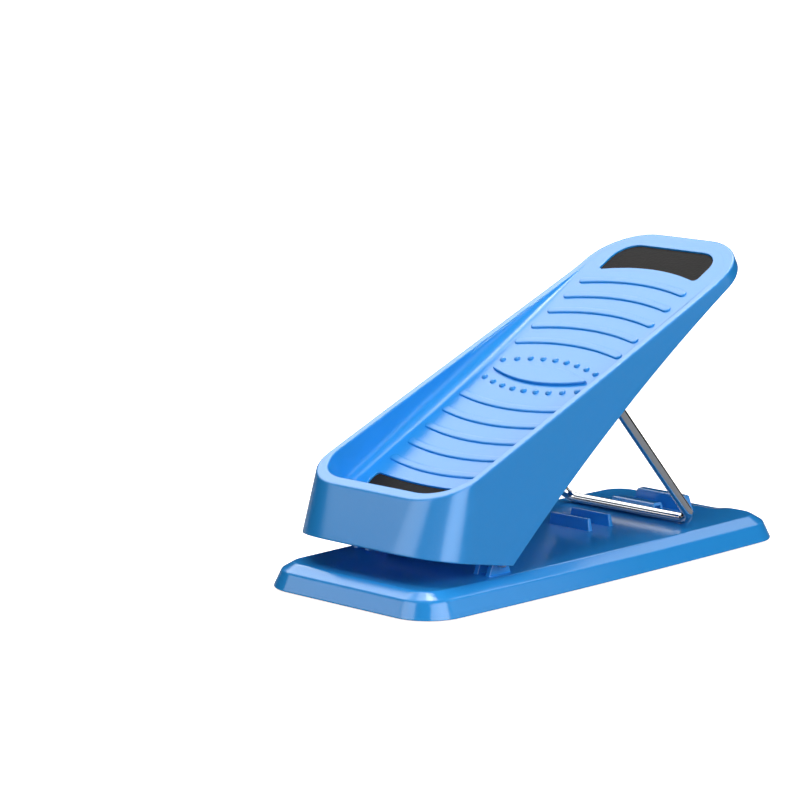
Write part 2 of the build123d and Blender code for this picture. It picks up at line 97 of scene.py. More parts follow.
class NodeSheet:
    """A node tree under construction."""

    def __init__(self, tree: bpy.types.NodeTree) -> None:
        """Keeps the tree that the nodes go into."""
        self.tree = tree

    def add(self, kind: str, settings: dict[str, object] | None = None, **inputs: object) -> bpy.types.Node:
        """Adds one node.

        Args:
            kind: the node's Blender type.
            settings: the node's own properties.
            inputs: its inputs, as for feed.

        Returns:
            The new node.
        """
        node = self.tree.nodes.new(kind)
        for name, value in (settings or {}).items():
            setattr(node, name, value)
        self.feed(node, **inputs)
        return node

    def feed(self, node: bpy.types.Node, **inputs: object) -> None:
        """Gives a node its inputs.

        Args:
            node: the node.
            inputs: values or sockets by input name, with "_" for a space, or by index as "i0".
        """
        for name, value in inputs.items():
            by_index = name[0] == "i" and name[1:].isdigit()
            socket = node.inputs[int(name[1:])] if by_index else node.inputs[name.replace("_", " ")]
            if isinstance(value, Socket):
                self.tree.links.new(value, socket)
            else:
                socket.default_value = value

    def math(self, operation: str, *values: object) -> Socket:
        """Adds a Math node and returns its output."""
        inputs = {f"i{index}": value for index, value in enumerate(values)}
        return self.add("ShaderNodeMath", {"operation": operation}, **inputs).outputs[0]

    def vector(self, x: object = 0.0, y: object = 0.0, z: object = 0.0) -> Socket:
        """Adds a Combine XYZ node and returns its output."""
        return self.add("ShaderNodeCombineXYZ", X=x, Y=y, Z=z).outputs[0]

    def noise(self, place: object, scale: object, detail: float, roughness: float = 0.5) -> Socket:
        """Adds a Noise Texture node and returns its value."""
        node = self.add("ShaderNodeTexNoise", Vector=place, Scale=scale, Detail=detail, Roughness=roughness)
        return node.outputs[0]

    def ramp(self, value: object, low: float, high: float, top: float = 1.0) -> Socket:
        """Adds a Map Range node that gives 0 at low and top at high, and returns its output."""
        node = self.add("ShaderNodeMapRange", Value=value, From_Min=low, From_Max=high, To_Max=top)
        return node.outputs[0]

    def position(self) -> Sequence[Socket]:
        """Adds the nodes for a point's x, y and z, and returns their outputs."""
        place = self.add("GeometryNodeInputPosition").outputs[0]
        return self.add("ShaderNodeSeparateXYZ", Vector=place).outputs

    def bump(self, strength: float, distance: float, height: object) -> Socket:
        """Adds a Bump node and returns its normal."""
        return self.add("ShaderNodeBump", Strength=strength, Distance=distance, Height=height).outputs[0]

    def fade(self, share: object, end: float) -> Socket:
        """Adds a Map Range node that gives 1 at no share and end at a full one; returns its output."""
        return self.add("ShaderNodeMapRange", Value=share, To_Min=1.0, To_Max=end).outputs[0]

    def facing(self, way: object, other: object) -> Socket:
        """Adds a node for how much two directions agree, and returns its output."""
        dot = {"operation": "DOT_PRODUCT"}
        return self.add("ShaderNodeVectorMath", dot, i0=way, i1=other).outputs["Value"]

    def mix(self, share: object, first: object, second: object) -> Socket:
        """Adds a Mix node for colours and returns its output."""
        return self.add("ShaderNodeMix", {"data_type": "RGBA"}, i0=share, i6=first, i7=second).outputs[2]


def group_tree(
    name: str, kind: str, inputs: Sequence[Input], outputs: Sequence[tuple[str, str]]
) -> tuple[NodeSheet, bpy.types.Node, bpy.types.Node]:
    """Starts a node group with named sockets.

    Args:
        name: the group's name.
        kind: "ShaderNodeTree" or "GeometryNodeTree".
        inputs: (name, socket type, default value) of each input.
        outputs: (name, socket type) of each output.

    Returns:
        The sheet, the Group Input node and the Group Output node.
    """
    tree = bpy.data.node_groups.new(name, kind)
    for label, socket_type, default in inputs:
        socket = tree.interface.new_socket(name=label, in_out="INPUT", socket_type=socket_type)
        if default is not None:
            socket.default_value = default
    for label, socket_type in outputs:
        tree.interface.new_socket(name=label, in_out="OUTPUT", socket_type=socket_type)
    sheet = NodeSheet(tree)
    return sheet, sheet.add("NodeGroupInput"), sheet.add("NodeGroupOutput")


# ---------------------------------------------------------------- finishes


class Effect(Enum):
    """The shader groups that the finishes share."""

    GRAIN = "mould_grain"
    DRIFT = "tone_drift"
    WEAR_AND_HIGHLIGHT = "handling_wear_and_edge_highlight"


def build_mould_grain() -> bpy.types.NodeTree:
    """Builds the group for the fine skin that a mould leaves on plastic and rubber.

    Returns:
        The group: Height for a Bump node, and Speckle, a mask of its fine grain.
    """
    sheet, inlet, outlet = group_tree(
        Effect.GRAIN.value,
        "ShaderNodeTree",
        [
            ("Position", "NodeSocketVector", None),
            ("Scale", "NodeSocketFloat", 900.0),
            ("Swell", "NodeSocketFloat", 0.5),
        ],
        [("Height", "NodeSocketFloat"), ("Speckle", "NodeSocketFloat")],
    )
    fine = sheet.noise(inlet.outputs["Position"], inlet.outputs["Scale"], 3.0, 0.6)
    slow = sheet.noise(inlet.outputs["Position"], 22.0, 1.0)
    swell = sheet.math("MULTIPLY", slow, inlet.outputs["Swell"])
    sheet.feed(outlet, Height=sheet.math("ADD", fine, swell), Speckle=fine)
    return sheet.tree


def build_tone_drift() -> bpy.types.NodeTree:
    """Builds the group for the slow change of tone and gloss over a moulded piece.

    Returns:
        The group: Colour and Roughness, both with the drift in them.
    """
    sheet, inlet, outlet = group_tree(
        Effect.DRIFT.value,
        "ShaderNodeTree",
        [
            ("Position", "NodeSocketVector", None),
            ("Colour", "NodeSocketColor", None),
            ("Amount", "NodeSocketFloat", 0.05),
            ("Roughness", "NodeSocketFloat", 0.3),
        ],
        [("Colour", "NodeSocketColor"), ("Roughness", "NodeSocketFloat")],
    )
    cloud = sheet.noise(inlet.outputs["Position"], 14.0, 3.0)
    drift = sheet.math("MULTIPLY", sheet.math("SUBTRACT", cloud, 0.5), inlet.outputs["Amount"])
    hue = sheet.math("ADD", sheet.math("MULTIPLY", drift, 0.08), 0.5)
    value = sheet.math("ADD", drift, 1.0)
    toned = sheet.add("ShaderNodeHueSaturation", Color=inlet.outputs["Colour"], Hue=hue, Value=value)
    rough = sheet.math("ADD", sheet.math("MULTIPLY", drift, 0.6), inlet.outputs["Roughness"])
    sheet.feed(outlet, Colour=toned.outputs[0], Roughness=rough)
    return sheet.tree


def build_handling_wear() -> bpy.types.NodeTree:
    """Builds the group for faint hairlines, and a lighter tint on worn edges that is partly a painted
    highlight.

    Returns:
        The group: Colour, Roughness and Scratch, a height for a Bump node.
    """
    sheet, inlet, outlet = group_tree(
        Effect.WEAR_AND_HIGHLIGHT.value,
        "ShaderNodeTree",
        [
            ("Position", "NodeSocketVector", None),
            ("Colour", "NodeSocketColor", None),
            ("Worn Colour", "NodeSocketColor", None),
            ("Roughness", "NodeSocketFloat", 0.3),
            ("Edge", "NodeSocketFloat", 0.0),
            ("Amount", "NodeSocketFloat", 0.3),
        ],
        [("Colour", "NodeSocketColor"), ("Roughness", "NodeSocketFloat"), ("Scratch", "NodeSocketFloat")],
    )
    place = inlet.outputs["Position"]
    amount = inlet.outputs["Amount"]
    streaks = {"Rotation": (0.3, 0.5, 0.9), "Scale": (40.0, 900.0, 900.0)}
    stretched = sheet.add("ShaderNodeMapping", Vector=place, **streaks).outputs[0]
    hair = sheet.ramp(sheet.noise(stretched, 1.0, 2.0, 0.7), 0.66, 0.74)
    patch = sheet.ramp(sheet.noise(place, 30.0, 2.0), 0.5, 0.62)
    scratch = sheet.math("MULTIPLY", sheet.math("MULTIPLY", hair, patch), amount)
    # Rounded edges get a lighter tint in patches: partly rubbed wear, partly a painted highlight along the
    # edges.
    edge_patches = sheet.ramp(sheet.noise(place, 260.0, 4.0, 0.65), 0.42, 0.62)
    edge_wear_and_highlight = sheet.math("MULTIPLY", sheet.math("MULTIPLY", edge_patches, inlet.outputs["Edge"]), amount)
    mask = sheet.math("MAXIMUM", scratch, edge_wear_and_highlight)
    colour = sheet.mix(mask, inlet.outputs["Colour"], inlet.outputs["Worn Colour"])
    rough = sheet.math("ADD", sheet.math("MULTIPLY", mask, 0.25), inlet.outputs["Roughness"])
    sheet.feed(outlet, Colour=colour, Roughness=rough, Scratch=scratch)
    return sheet.tree


class EffectShelf:
    """The shader groups that the finishes share, each built once."""

    _groups: dict[Effect, bpy.types.NodeTree] = {}
    _makers: dict[Effect, Callable[[], bpy.types.NodeTree]] = {
        Effect.GRAIN: build_mould_grain,
        Effect.DRIFT: build_tone_drift,
        Effect.WEAR_AND_HIGHLIGHT: build_handling_wear,
    }

    @classmethod
    def drift(
        cls, sheet: NodeSheet, position: Socket, colour: Triple, amount: float, roughness: float
    ) -> bpy.types.Node:
        """Places the slow change of tone over a plain colour.

        Args:
            sheet: the material's sheet.
            position: the coordinates that it follows.
            colour: the plain colour.
            amount: how strongly the tone changes.
            roughness: the plain roughness.

        Returns:
            The group node.
        """
        plain = {"Colour": (*colour, 1.0), "Roughness": roughness}
        return cls.place(sheet, Effect.DRIFT, Position=position, Amount=amount, **plain)

    @classmethod
    def place(cls, sheet: NodeSheet, effect: Effect, **inputs: object) -> bpy.types.Node:
        """Places one shared group in a material.

        Args:
            sheet: the material's sheet.
            effect: which group.
            inputs: its values or sockets, by input name.

        Returns:
            The group node.
        """
        if effect not in cls._groups:
            cls._groups[effect] = cls._makers[effect]()
        return sheet.add("ShaderNodeGroup", {"node_tree": cls._groups[effect]}, **inputs)


def new_material(name: str) -> tuple[bpy.types.Material, NodeSheet, bpy.types.Node, Socket]:
    """Starts a material.

    Args:
        name: the material's name.

    Returns:
        The material, its sheet, its Principled shader and the Object coordinates.
    """
    material = bpy.data.materials.new(name)
    material.use_nodes = True
    sheet = NodeSheet(material.node_tree)
    sheet.tree.nodes.clear()
    shader = sheet.add("ShaderNodeBsdfPrincipled")
    sheet.add("ShaderNodeOutputMaterial", Surface=shader.outputs[0])
    position = sheet.add("ShaderNodeTexCoord").outputs["Object"]
    return material, sheet, shader, position


@dataclass(frozen=True)
class MouldedPlastic:
    """Glossy coloured plastic, straight from a polished mould."""

    name: str
    colour: Triple
    # The second colour tints the rounded edges: partly wear, partly a painted highlight; wear sets how
    # strongly, with the scratches.
    worn_colour: Triple
    roughness: float = 0.22
    drift: float = 0.06
    wear: float = 0.07
    grain_scale: float = 1400.0
    grain_swell: float = 0.6
    grain_strength: float = 0.04
    grain_height: float = 0.0006
    ior: float = 1.5

    def make(self) -> bpy.types.Material:
        """Builds the material.

        Returns:
            The material.
        """
        material, sheet, shader, position = new_material(self.name)
        toned = EffectShelf.drift(sheet, position, self.colour, self.drift, self.roughness)
        # Scratches, and a lighter tint on rounded edges that is partly wear and partly a painted highlight.
        worn = EffectShelf.place(
            sheet,
            Effect.WEAR_AND_HIGHLIGHT,
            Position=position,
            Colour=toned.outputs["Colour"],
            Worn_Colour=(*self.worn_colour, 1.0),
            Roughness=toned.outputs["Roughness"],
            Edge=sheet.add("ShaderNodeAttribute", {"attribute_name": "edge"}).outputs["Fac"],
            Amount=self.wear,
        )
        grain = EffectShelf.place(
            sheet, Effect.GRAIN, Position=position, Scale=self.grain_scale, Swell=self.grain_swell
        )
        depth = sheet.math("SUBTRACT", grain.outputs["Height"], worn.outputs["Scratch"])
        normal = sheet.bump(self.grain_strength, self.grain_height, depth)
        colour, roughness = worn.outputs["Colour"], worn.outputs["Roughness"]
        sheet.feed(shader, Base_Color=colour, Roughness=roughness, Normal=normal, IOR=self.ior)
        return material


@dataclass(frozen=True)
class GripRubber:
    """Matt elastomer with a fine dimpled skin and a little lint."""

    name: str
    colour: Triple
    lint_colour: Triple
    roughness: float = 0.62
    drift: float = 0.22
    grain_scale: float = 1500.0
    grain_swell: float = 0.4
    lint_share: float = 0.35
    dimple_scale: float = 620.0
    dimple_strength: float = 0.25
    dimple_height: float = 0.0004
    gloss: float = 0.06

    def make(self) -> bpy.types.Material:
        """Builds the material.

        Returns:
            The material.
        """
        material, sheet, shader, position = new_material(self.name)
        grain = EffectShelf.place(
            sheet, Effect.GRAIN, Position=position, Scale=self.grain_scale, Swell=self.grain_swell
        )
        toned = EffectShelf.drift(sheet, position, self.colour, self.drift, self.roughness)
        lint = sheet.ramp(grain.outputs["Speckle"], 0.68, 0.78, self.lint_share)
        colour = sheet.mix(lint, toned.outputs["Colour"], (*self.lint_colour, 1.0))
        cells = sheet.add("ShaderNodeTexVoronoi", Vector=position, Scale=self.dimple_scale)
        fine = sheet.math("MULTIPLY", grain.outputs["Height"], 0.5)
        height = sheet.math("ADD", cells.outputs["Distance"], fine)
        normal = sheet.bump(self.dimple_strength, self.dimple_height, height)
        sheet.feed(shader, Base_Color=colour, Roughness=toned.outputs["Roughness"], Normal=normal)
        sheet.feed(shader, Specular_IOR_Level=self.gloss)
        return material


@dataclass(frozen=True)
class PlatedWire:
    """Bright plated or drawn steel."""

    name: str
    colour: Triple
    dull_colour: Triple = (0.42, 0.42, 0.43)
    roughness: float = 0.08
    drawn: float = 0.15
    drift: float = 0.1
    grain_scale: float = 2600.0
    grain_swell: float = 0.3
    grain_height: float = 0.0003

    def make(self) -> bpy.types.Material:
        """Builds the material.

        Returns:
            The material.
        """
        material, sheet, shader, position = new_material(self.name)
        toned = EffectShelf.drift(sheet, position, self.colour, self.drift, self.roughness)
        worn = EffectShelf.place(
            sheet,
            Effect.WEAR_AND_HIGHLIGHT,
            Position=position,
            Colour=toned.outputs["Colour"],
            Worn_Colour=(*self.dull_colour, 1.0),
            Roughness=toned.outputs["Roughness"],
            Amount=self.drawn,
        )
        grain = EffectShelf.place(
            sheet, Effect.GRAIN, Position=position, Scale=self.grain_scale, Swell=self.grain_swell
        )
        normal = sheet.bump(self.drawn * 0.2, self.grain_height, grain.outputs["Height"])
        colour, roughness = worn.outputs["Colour"], worn.outputs["Roughness"]
        sheet.feed(shader, Base_Color=colour, Roughness=roughness, Normal=normal, Metallic=1.0)
        return material


# ---------------------------------------------------------------- mesh tools


def new_object(
    name: str, points: Sequence[Vector], faces: Sequence[Sequence[int]], edge: Sequence[float] | None = None
) -> bpy.types.Object:
    """Makes a smooth-shaded object from millimetre points, with its normals outward.

    Args:
        name: the object's name.
        points: its vertices, in the ground's directions.
        faces: vertex numbers of each face.
        edge: 0 to 1 for each vertex, 1 where the surface turns over an outer edge.

    Returns:
        The object.
    """
    mesh = bpy.data.meshes.new(name)
    mesh.from_pydata([point * MM for point in points], [], [list(face) for face in faces])
    if edge is not None:
        # The plastics lighten their rounded edges by this value: partly wear, partly a painted highlight.
        attribute = mesh.attributes.new("edge", "FLOAT", "POINT")
        attribute.data.foreach_set("value", list(edge))
    work = bmesh.new()
    work.from_mesh(mesh)
    bmesh.ops.recalc_face_normals(work, faces=work.faces)
    for face in work.faces:
        face.smooth = True
    work.to_mesh(mesh)
    work.free()
    obj = bpy.data.objects.new(name, mesh)
    bpy.context.scene.collection.objects.link(obj)
    return obj


def settle(obj: bpy.types.Object) -> bpy.types.Object:
    """Turns an object's evaluated shape into a plain mesh and drops its modifiers.

    Args:
        obj: the object.

    Returns:
        The same object.
    """
    graph = bpy.context.evaluated_depsgraph_get()
    mesh = bpy.data.meshes.new_from_object(obj.evaluated_get(graph), depsgraph=graph)
    obj.modifiers.clear()
    obj.data = mesh
    return obj


def soften(obj: bpy.types.Object, width: float, steps: int = 3, angle: float = 32.0) -> bpy.types.Object:
    """Rounds an object's edges and keeps its flat faces flat.

    Args:
        obj: the object.
        width: the rounding, in millimetres.
        steps: facets across the rounding.
        angle: edges that turn by more than this are rounded, in degrees.

    Returns:
        The same object.
    """
    bevel = obj.modifiers.new("soften", "BEVEL")
    bevel.width = width * MM
    bevel.segments = steps
    bevel.limit_method = "ANGLE"
    bevel.angle_limit = math.radians(angle)
    bevel.harden_normals = True
    return settle(obj)


def dress(
    obj: bpy.types.Object, material: bpy.types.Material, body: Body, slot: Slot, nodes: Iterable[str]
) -> bpy.types.Object:
    """Gives a piece its finish and its body, and hides the CAD nodes that it stands for.

    Args:
        obj: the piece.
        material: its finish.
        body: the body that it rides on.
        slot: the record's material slot; not used.
        nodes: CAD nodes that it replaces.

    Returns:
        The same object.
    """
    obj.data.materials.clear()
    obj.data.materials.append(material)
    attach(obj, body.value)
    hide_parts(*nodes)
    log.info("%s: %d faces on %s", obj.name, len(obj.data.polygons), body.value)
    return obj


@dataclass(frozen=True)
class Corner:
    """One corner of a profile, and how far its rounding reaches along each side."""

    at: Vector
    before: float = 0.0
    after: float = 0.0
    steps: int = 0
    outer: bool = False


# The largest shares of a side that a rounding takes, without and with its further point.
REACH_LIMIT = 0.46
SUPPORT_LIMIT = 0.49


def conic_run(start: Vector, corner: Vector, end: Vector, turn: float, steps: int) -> Ring:
    """Draws the curve that rounds a corner.

    Args:
        start: where the rounding starts.
        corner: the sharp corner.
        end: where the rounding ends.
        turn: the angle that the outline turns by at the corner.
        steps: facets along the curve.

    Returns:
        The curve's points, with both its ends.
    """
    weight = math.cos(turn / 2)
    run: Ring = []
    for step in range(steps + 1):
        t = step / steps
        first, middle, last = (1 - t) ** 2, 2 * t * (1 - t) * weight, t**2
        run.append((start * first + corner * middle + end * last) / (first + middle + last))
    return run


def bend(start: Vector, corner: Vector, end: Vector, steps: int) -> Ring:
    """Rounds the corner between two points, with the turn read from the points."""
    return conic_run(start, corner, end, math.pi - (start - corner).angle(end - corner), steps)


def rounded_profile(corners: Sequence[Corner], support: float = 0.5) -> tuple[Ring, list[float]]:
    """Rounds a profile's corners.

    Args:
        corners: the profile's corners in order; one with no steps stays as it is.
        support: a further point this far beyond each rounding keeps the flat beside it flat.

    Returns:
        The points, and for each the edge value: 1 on an outer rounding, 0 elsewhere.
    """
    points: Ring = []
    edges: list[float] = []
    for index, corner in enumerate(corners):
        if corner.steps == 0:
            points.append(corner.at.copy())
            edges.append(0.0)
            continue
        back = corners[index - 1].at - corner.at
        ahead = corners[index + 1].at - corner.at
        before = min(corner.before, REACH_LIMIT * back.length)
        after = min(corner.after, REACH_LIMIT * ahead.length)
        back_way, ahead_way = back.normalized(), ahead.normalized()
        turn = math.pi - back_way.angle(ahead_way, math.pi)
        start = corner.at + back_way * before
        end = corner.at + ahead_way * after
        points.append(corner.at + back_way * min(before + support, SUPPORT_LIMIT * back.length))
        points += conic_run(start, corner.at, end, turn, corner.steps)
        points.append(corner.at + ahead_way * min(after + support, SUPPORT_LIMIT * ahead.length))
        shares = [step / corner.steps for step in range(corner.steps + 1)]
        edges += [0.0, *[math.sin(math.pi * share) if corner.outer else 0.0 for share in shares], 0.0]
    return points, edges


@dataclass(frozen=True)
class PlanOutline:
    """A rounded outline whose long sides are bowed, in directions (x, u)."""

    heel: float
    toe: float
    half_widths: Triple
    heel_radius: float
    toe_radius: float
    split: float

    def half_width(self, u: float) -> float:
        """Finds half of the outline's width, before its corners are rounded.

        Args:
            u: where, along the outline.

        Returns:
            The half width.
        """
        heel_x, middle_x, toe_x = self.half_widths
        t = (u - self.heel) / (self.toe - self.heel)
        return heel_x * (1 - t) * (1 - 2 * t) + middle_x * 4 * t * (1 - t) + toe_x * t * (2 * t - 1)

    def side_normal(self, u: float) -> Vector:
        """The outward direction of the right-hand side at u."""
        slope = self.half_width(u + 0.5) - self.half_width(u - 0.5)
        return Vector((1.0, -slope)).normalized()

    def tangent_u(self, end: float, radius: float, way: int) -> float:
        """Finds where a corner's rounding meets the side.

        Args:
            end: the u of the outline's end.
            radius: the corner's radius.
            way: 1 at the heel and -1 at the toe.

        Returns:
            The u of the meeting point.
        """
        u = end + way * radius
        for _ in range(12):
            u = end + way * radius + radius * self.side_normal(u)[1]
        return u

    def corner_centre(self, u: float, radius: float) -> Vector:
        """The centre of a corner whose rounding meets the side at u."""
        return Vector((self.half_width(u), u)) - self.side_normal(u) * radius

    @staticmethod
    def corner_arc(centre: Vector, radius: float, start: float, end: float, steps: int) -> list[Station]:
        """Walks round one corner.

        Args:
            centre: the corner's centre.
            radius: its radius.
            start: the angle of the first station.
            end: the angle that the walk stops short of.
            steps: how many stations.

        Returns:
            The stations.
        """
        run: list[Station] = []
        for step in range(steps):
            angle = start + (end - start) * step / steps
            way = Vector((math.cos(angle), math.sin(angle)))
            run.append((centre + way * radius, way))
        return run

    def stations(self, counts: Sequence[int]) -> list[Station]:
        """Walks round the outline from the middle of the heel, by way of the right-hand side.

        Args:
            counts: steps on half the heel line, the heel corner, the side before and after the
                split, the toe corner and half the toe line.

        Returns:
            The stations.
        """
        heel_tangent = self.tangent_u(self.heel, self.heel_radius, 1)
        toe_tangent = self.tangent_u(self.toe, self.toe_radius, -1)
        heel_centre = self.corner_centre(heel_tangent, self.heel_radius)
        toe_centre = self.corner_centre(toe_tangent, self.toe_radius)
        heel_angle, toe_angle = (math.atan2(*self.side_normal(u).yx) for u in (heel_tangent, toe_tangent))
        to_heel, to_toe = Vector((0.0, -1.0)), Vector((0.0, 1.0))
        half: list[Station] = []
        for step in range(counts[0]):
            half.append((Vector((heel_centre[0] * step / counts[0], self.heel)), to_heel))
        half += self.corner_arc(heel_centre, self.heel_radius, -math.pi / 2, heel_angle, counts[1])
        sides = ((heel_tangent, self.split, counts[2]), (self.split, toe_tangent, counts[3]))
        for start, end, steps in sides:
            for step in range(steps):
                u = start + (end - start) * step / steps
                half.append((Vector((self.half_width(u), u)), self.side_normal(u)))
        half += self.corner_arc(toe_centre, self.toe_radius, toe_angle, math.pi / 2, counts[4])
        for step in range(counts[5]):
            half.append((Vector((toe_centre[0] * (1 - step / counts[5]), self.toe)), to_toe))
        mirrored = [(Vector((-p[0], p[1])), Vector((-n[0], n[1]))) for p, n in reversed(half[1:])]
        return [*half, (Vector((0.0, self.toe)), to_toe), *mirrored]


class ShellBuilder:
    """Grows a closed shell from rings of equal length, and fills flat areas with holes."""

    def __init__(self) -> None:
        """Starts with no points."""
        self.points: Ring = []
        self.faces: list[tuple[int, ...]] = []
        self.edges: list[float] = []

    def add_ring(self, ring: Sequence[Vector], edge: Sequence[float] | float = 0.0) -> list[int]:
        """Adds a ring of points.

        Args:
            ring: the points.
            edge: the edge value of each, or one for all.

        Returns:
            The points' numbers.
        """
        start = len(self.points)
        self.points += [Vector(point) for point in ring]
        self.edges += [edge] * len(ring) if isinstance(edge, float) else list(edge)
        return list(range(start, start + len(ring)))

    def skin(self, rings: Sequence[Sequence[int]]) -> None:
        """Joins each ring to the next with quads.

        Args:
            rings: rings of equal length, by their points' numbers.
        """
        for first, second in zip(rings, rings[1:]):
            count = len(first)
            for index in range(count):
                after = (index + 1) % count
                self.faces.append((first[index], first[after], second[after], second[index]))

    def add_columns(self, columns: Sequence[Ring], values: Sequence[Sequence[float]]) -> list[list[int]]:
        """Adds the rings that run across a row of profiles, and joins them.

        Args:
            columns: the profiles, all with the same number of points.
            values: the edge values of their points.

        Returns:
            The rings, from the profiles' first points to their last.
        """
        rings = [self.add_ring(ring, edges) for ring, edges in zip(zip(*columns), zip(*values))]
        self.skin(rings)
        return rings

    def fill(self, outer: Sequence[int], holes: Sequence[Sequence[int]] = ()) -> None:
        """Fills a flat ring.

        Args:
            outer: the ring.
            holes: rings inside it that are left open.
        """
        loops = [list(outer), *[list(hole) for hole in holes]]
        numbers = [number for loop in loops for number in loop]
        flat = [[self.points[number] for number in loop] for loop in loops]
        for triangle in tessellate_polygon(flat):
            self.faces.append(tuple(numbers[corner] for corner in triangle))

    def build(self, name: str, place: Place) -> bpy.types.Object:
        """Makes the object, with each point put in place."""
        return new_object(name, [place(point) for point in self.points], self.faces, self.edges)


def inset_loop(loop: Sequence[Vector], amount: float) -> Ring:
    """Moves a closed loop inward.

    Args:
        loop: the loop, anticlockwise, in (x, u).
        amount: how far it moves.

    Returns:
        The moved loop.
    """
    count = len(loop)
    moved: Ring = []
    for index in range(count):
        before, here, after = loop[index - 1], loop[index], loop[(index + 1) % count]
        first = (here - before).normalized()
        second = (after - here).normalized()
        normal = Vector((-(first[1] + second[1]), first[0] + second[0])).normalized()
        spread = max(0.5, normal.dot(Vector((-first[1], first[0]))))
        moved.append(here + normal * (amount / spread))
    return moved


def anticlockwise(loop: Ring) -> Ring:
    """Turns a closed (x, u) loop to run anticlockwise."""
    area = sum(a[0] * b[1] - b[0] * a[1] for a, b in zip(loop, [*loop[1:], loop[0]]))
    return loop if area >= 0 else loop[::-1]


def lifted(point: Vector, level: float) -> Vector:
    """Lifts an (x, u) point to (x, u, v)."""
    return Vector((point[0], point[1], level))


def at_level(loop: Sequence[Vector], level: float) -> Ring:
    """Lifts an (x, u) loop to (x, u, v)."""
    return [lifted(point, level) for point in loop]


def bowed_run(middle: Vector, radius: float, start: float, way: int, steps: int) -> Ring:
    """Draws an arc from one angle, measured from the u direction, to its mirror image.

    Args:
        middle: the arc's centre, in (x, u).
        radius: its radius.
        start: the angle of its first point.
        way: 1 where it bulges towards the toe, and -1 towards the heel.
        steps: facets along it.

    Returns:
        The arc's points.
    """
    run: Ring = []
    for step in range(steps + 1):
        angle = start * (1 - 2 * step / steps)
        run.append(middle + Vector((math.sin(angle) * radius, way * math.cos(angle) * radius)))
    return run


def circle_through(first: Pair, second: Pair, third: Pair) -> tuple[Pair, float]:
    """Finds the circle through three points.

    Args:
        first: a point.
        second: another.
        third: the last.

    Returns:
        The circle's centre and radius.
    """
    (ax, ay), (bx, by), (cx, cy) = first, second, third
    a, b, c = ax**2 + ay**2, bx**2 + by**2, cx**2 + cy**2
    spread = 2 * (ax * (by - cy) + bx * (cy - ay) + cx * (ay - by))
    x = (a * (by - cy) + b * (cy - ay) + c * (ay - by)) / spread
    y = (a * (cx - bx) + b * (ax - cx) + c * (bx - ax)) / spread
    return (x, y), math.hypot(ax - x, ay - y)


@dataclass(frozen=True)
class Ruling:
    """A straight line up a wall, between an (x, u) point low down and one high up."""

    low: Vector
    high: Vector
    low_level: float
    high_level: float

    def at(self, level: float) -> Vector:
        """The line's point at a level."""
        share = (level - self.low_level) / (self.high_level - self.low_level)
        return lifted(self.low.lerp(self.high, share), level)

    def meet(self, edge: Callable[[float], float], low: float, high: float) -> Vector:
        """Finds where the line crosses an edge, by halving.

        Args:
            edge: the edge's level, by u.
            low: a level below the crossing.
            high: a level above it.

        Returns:
            The crossing.
        """
        for _ in range(48):
            middle = (low + high) / 2
            if middle < edge(self.at(middle)[1]):
                low = middle
            else:
                high = middle
        return self.at(high)


def in_place(point: Vector) -> Vector:
    """Leaves a point that is in the ground's directions where it is."""
    return point


def plug_shell(
    name: str, loop: Sequence[Vector], low: float, high: float, edge: float, place: Place, steps: int = 5
) -> bpy.types.Object:
    """Makes a closed flat piece with a rounded upper edge.

    Args:
        name: the object's name.
        loop: its outline, anticlockwise, in (x, u).
        low: the level of its underside.
        high: the level of its top.
        edge: the rounding of its upper edge.
        place: takes (x, u, v) to the ground's directions.
        steps: facets across the rounding.

    Returns:
        The object.
    """
    shell = ShellBuilder()
    rings = [shell.add_ring(at_level(loop, low)), shell.add_ring(at_level(loop, high - edge - 0.15))]
    for step in range(steps + 1):
        angle = math.pi / 2 * step / steps
        inner = inset_loop(loop, edge * (1 - math.cos(angle))) if step else loop
        level = high - edge * (1 - math.sin(angle))
        rings.append(shell.add_ring(at_level(inner, level), math.sin(2 * angle)))
    rings.append(shell.add_ring(at_level(inset_loop(loop, edge + 0.35), high)))
    shell.skin(rings)
    shell.fill(rings[0])
    shell.fill(rings[-1])
    return shell.build(name, place)


@dataclass(frozen=True)
class Span:
    """The two ends of a prism in x, which may draw in towards its top."""

    start: float
    end: float
    draw_in: float = 0.0
    foot: float = 0.0
    height: float = 1.0

    def at(self, level: float) -> Pair:
        """The two ends at a level."""
        shift = self.draw_in * (level - self.foot) / self.height
        return self.start + shift, self.end - shift


def prism(name: str, profile: Sequence[Pair], span: Span, place: Place) -> bpy.types.Object:
    """Makes a prism across x.

    Args:
        name: the object's name.
        profile: its outline in the other two directions.
        span: its ends.
        place: takes its points to the ground's directions.

    Returns:
        The object.
    """
    count = len(profile)
    points = [place(Vector((span.at(b)[end], a, b))) for end in (0, 1) for a, b in profile]
    faces: list[tuple[int, ...]] = [tuple(range(count)), tuple(range(count, 2 * count))]
    for index in range(count):
        after = (index + 1) % count
        faces.append((index, after, count + after, count + index))
    return new_object(name, points, faces)


def hanger_profile(axis: Pair, radius: float, root_half: float, root: float, steps: int = 20) -> list[Pair]:
    """Draws a knuckle or lug: a round end about an axis that spreads to a root.

    Args:
        axis: the axis, along and up.
        radius: the round end's radius.
        root_half: half the root's width.
        root: the root's level.
        steps: facets round the end.

    Returns:
        The outline.
    """
    along, up = axis
    away = 1 if up > root else -1
    outline = [(along - root_half, root), (along + root_half, root)]
    for step in range(steps + 1):
        angle = math.pi * step / steps
        outline.append((along + radius * math.cos(angle), up + away * radius * math.sin(angle)))
    return outline


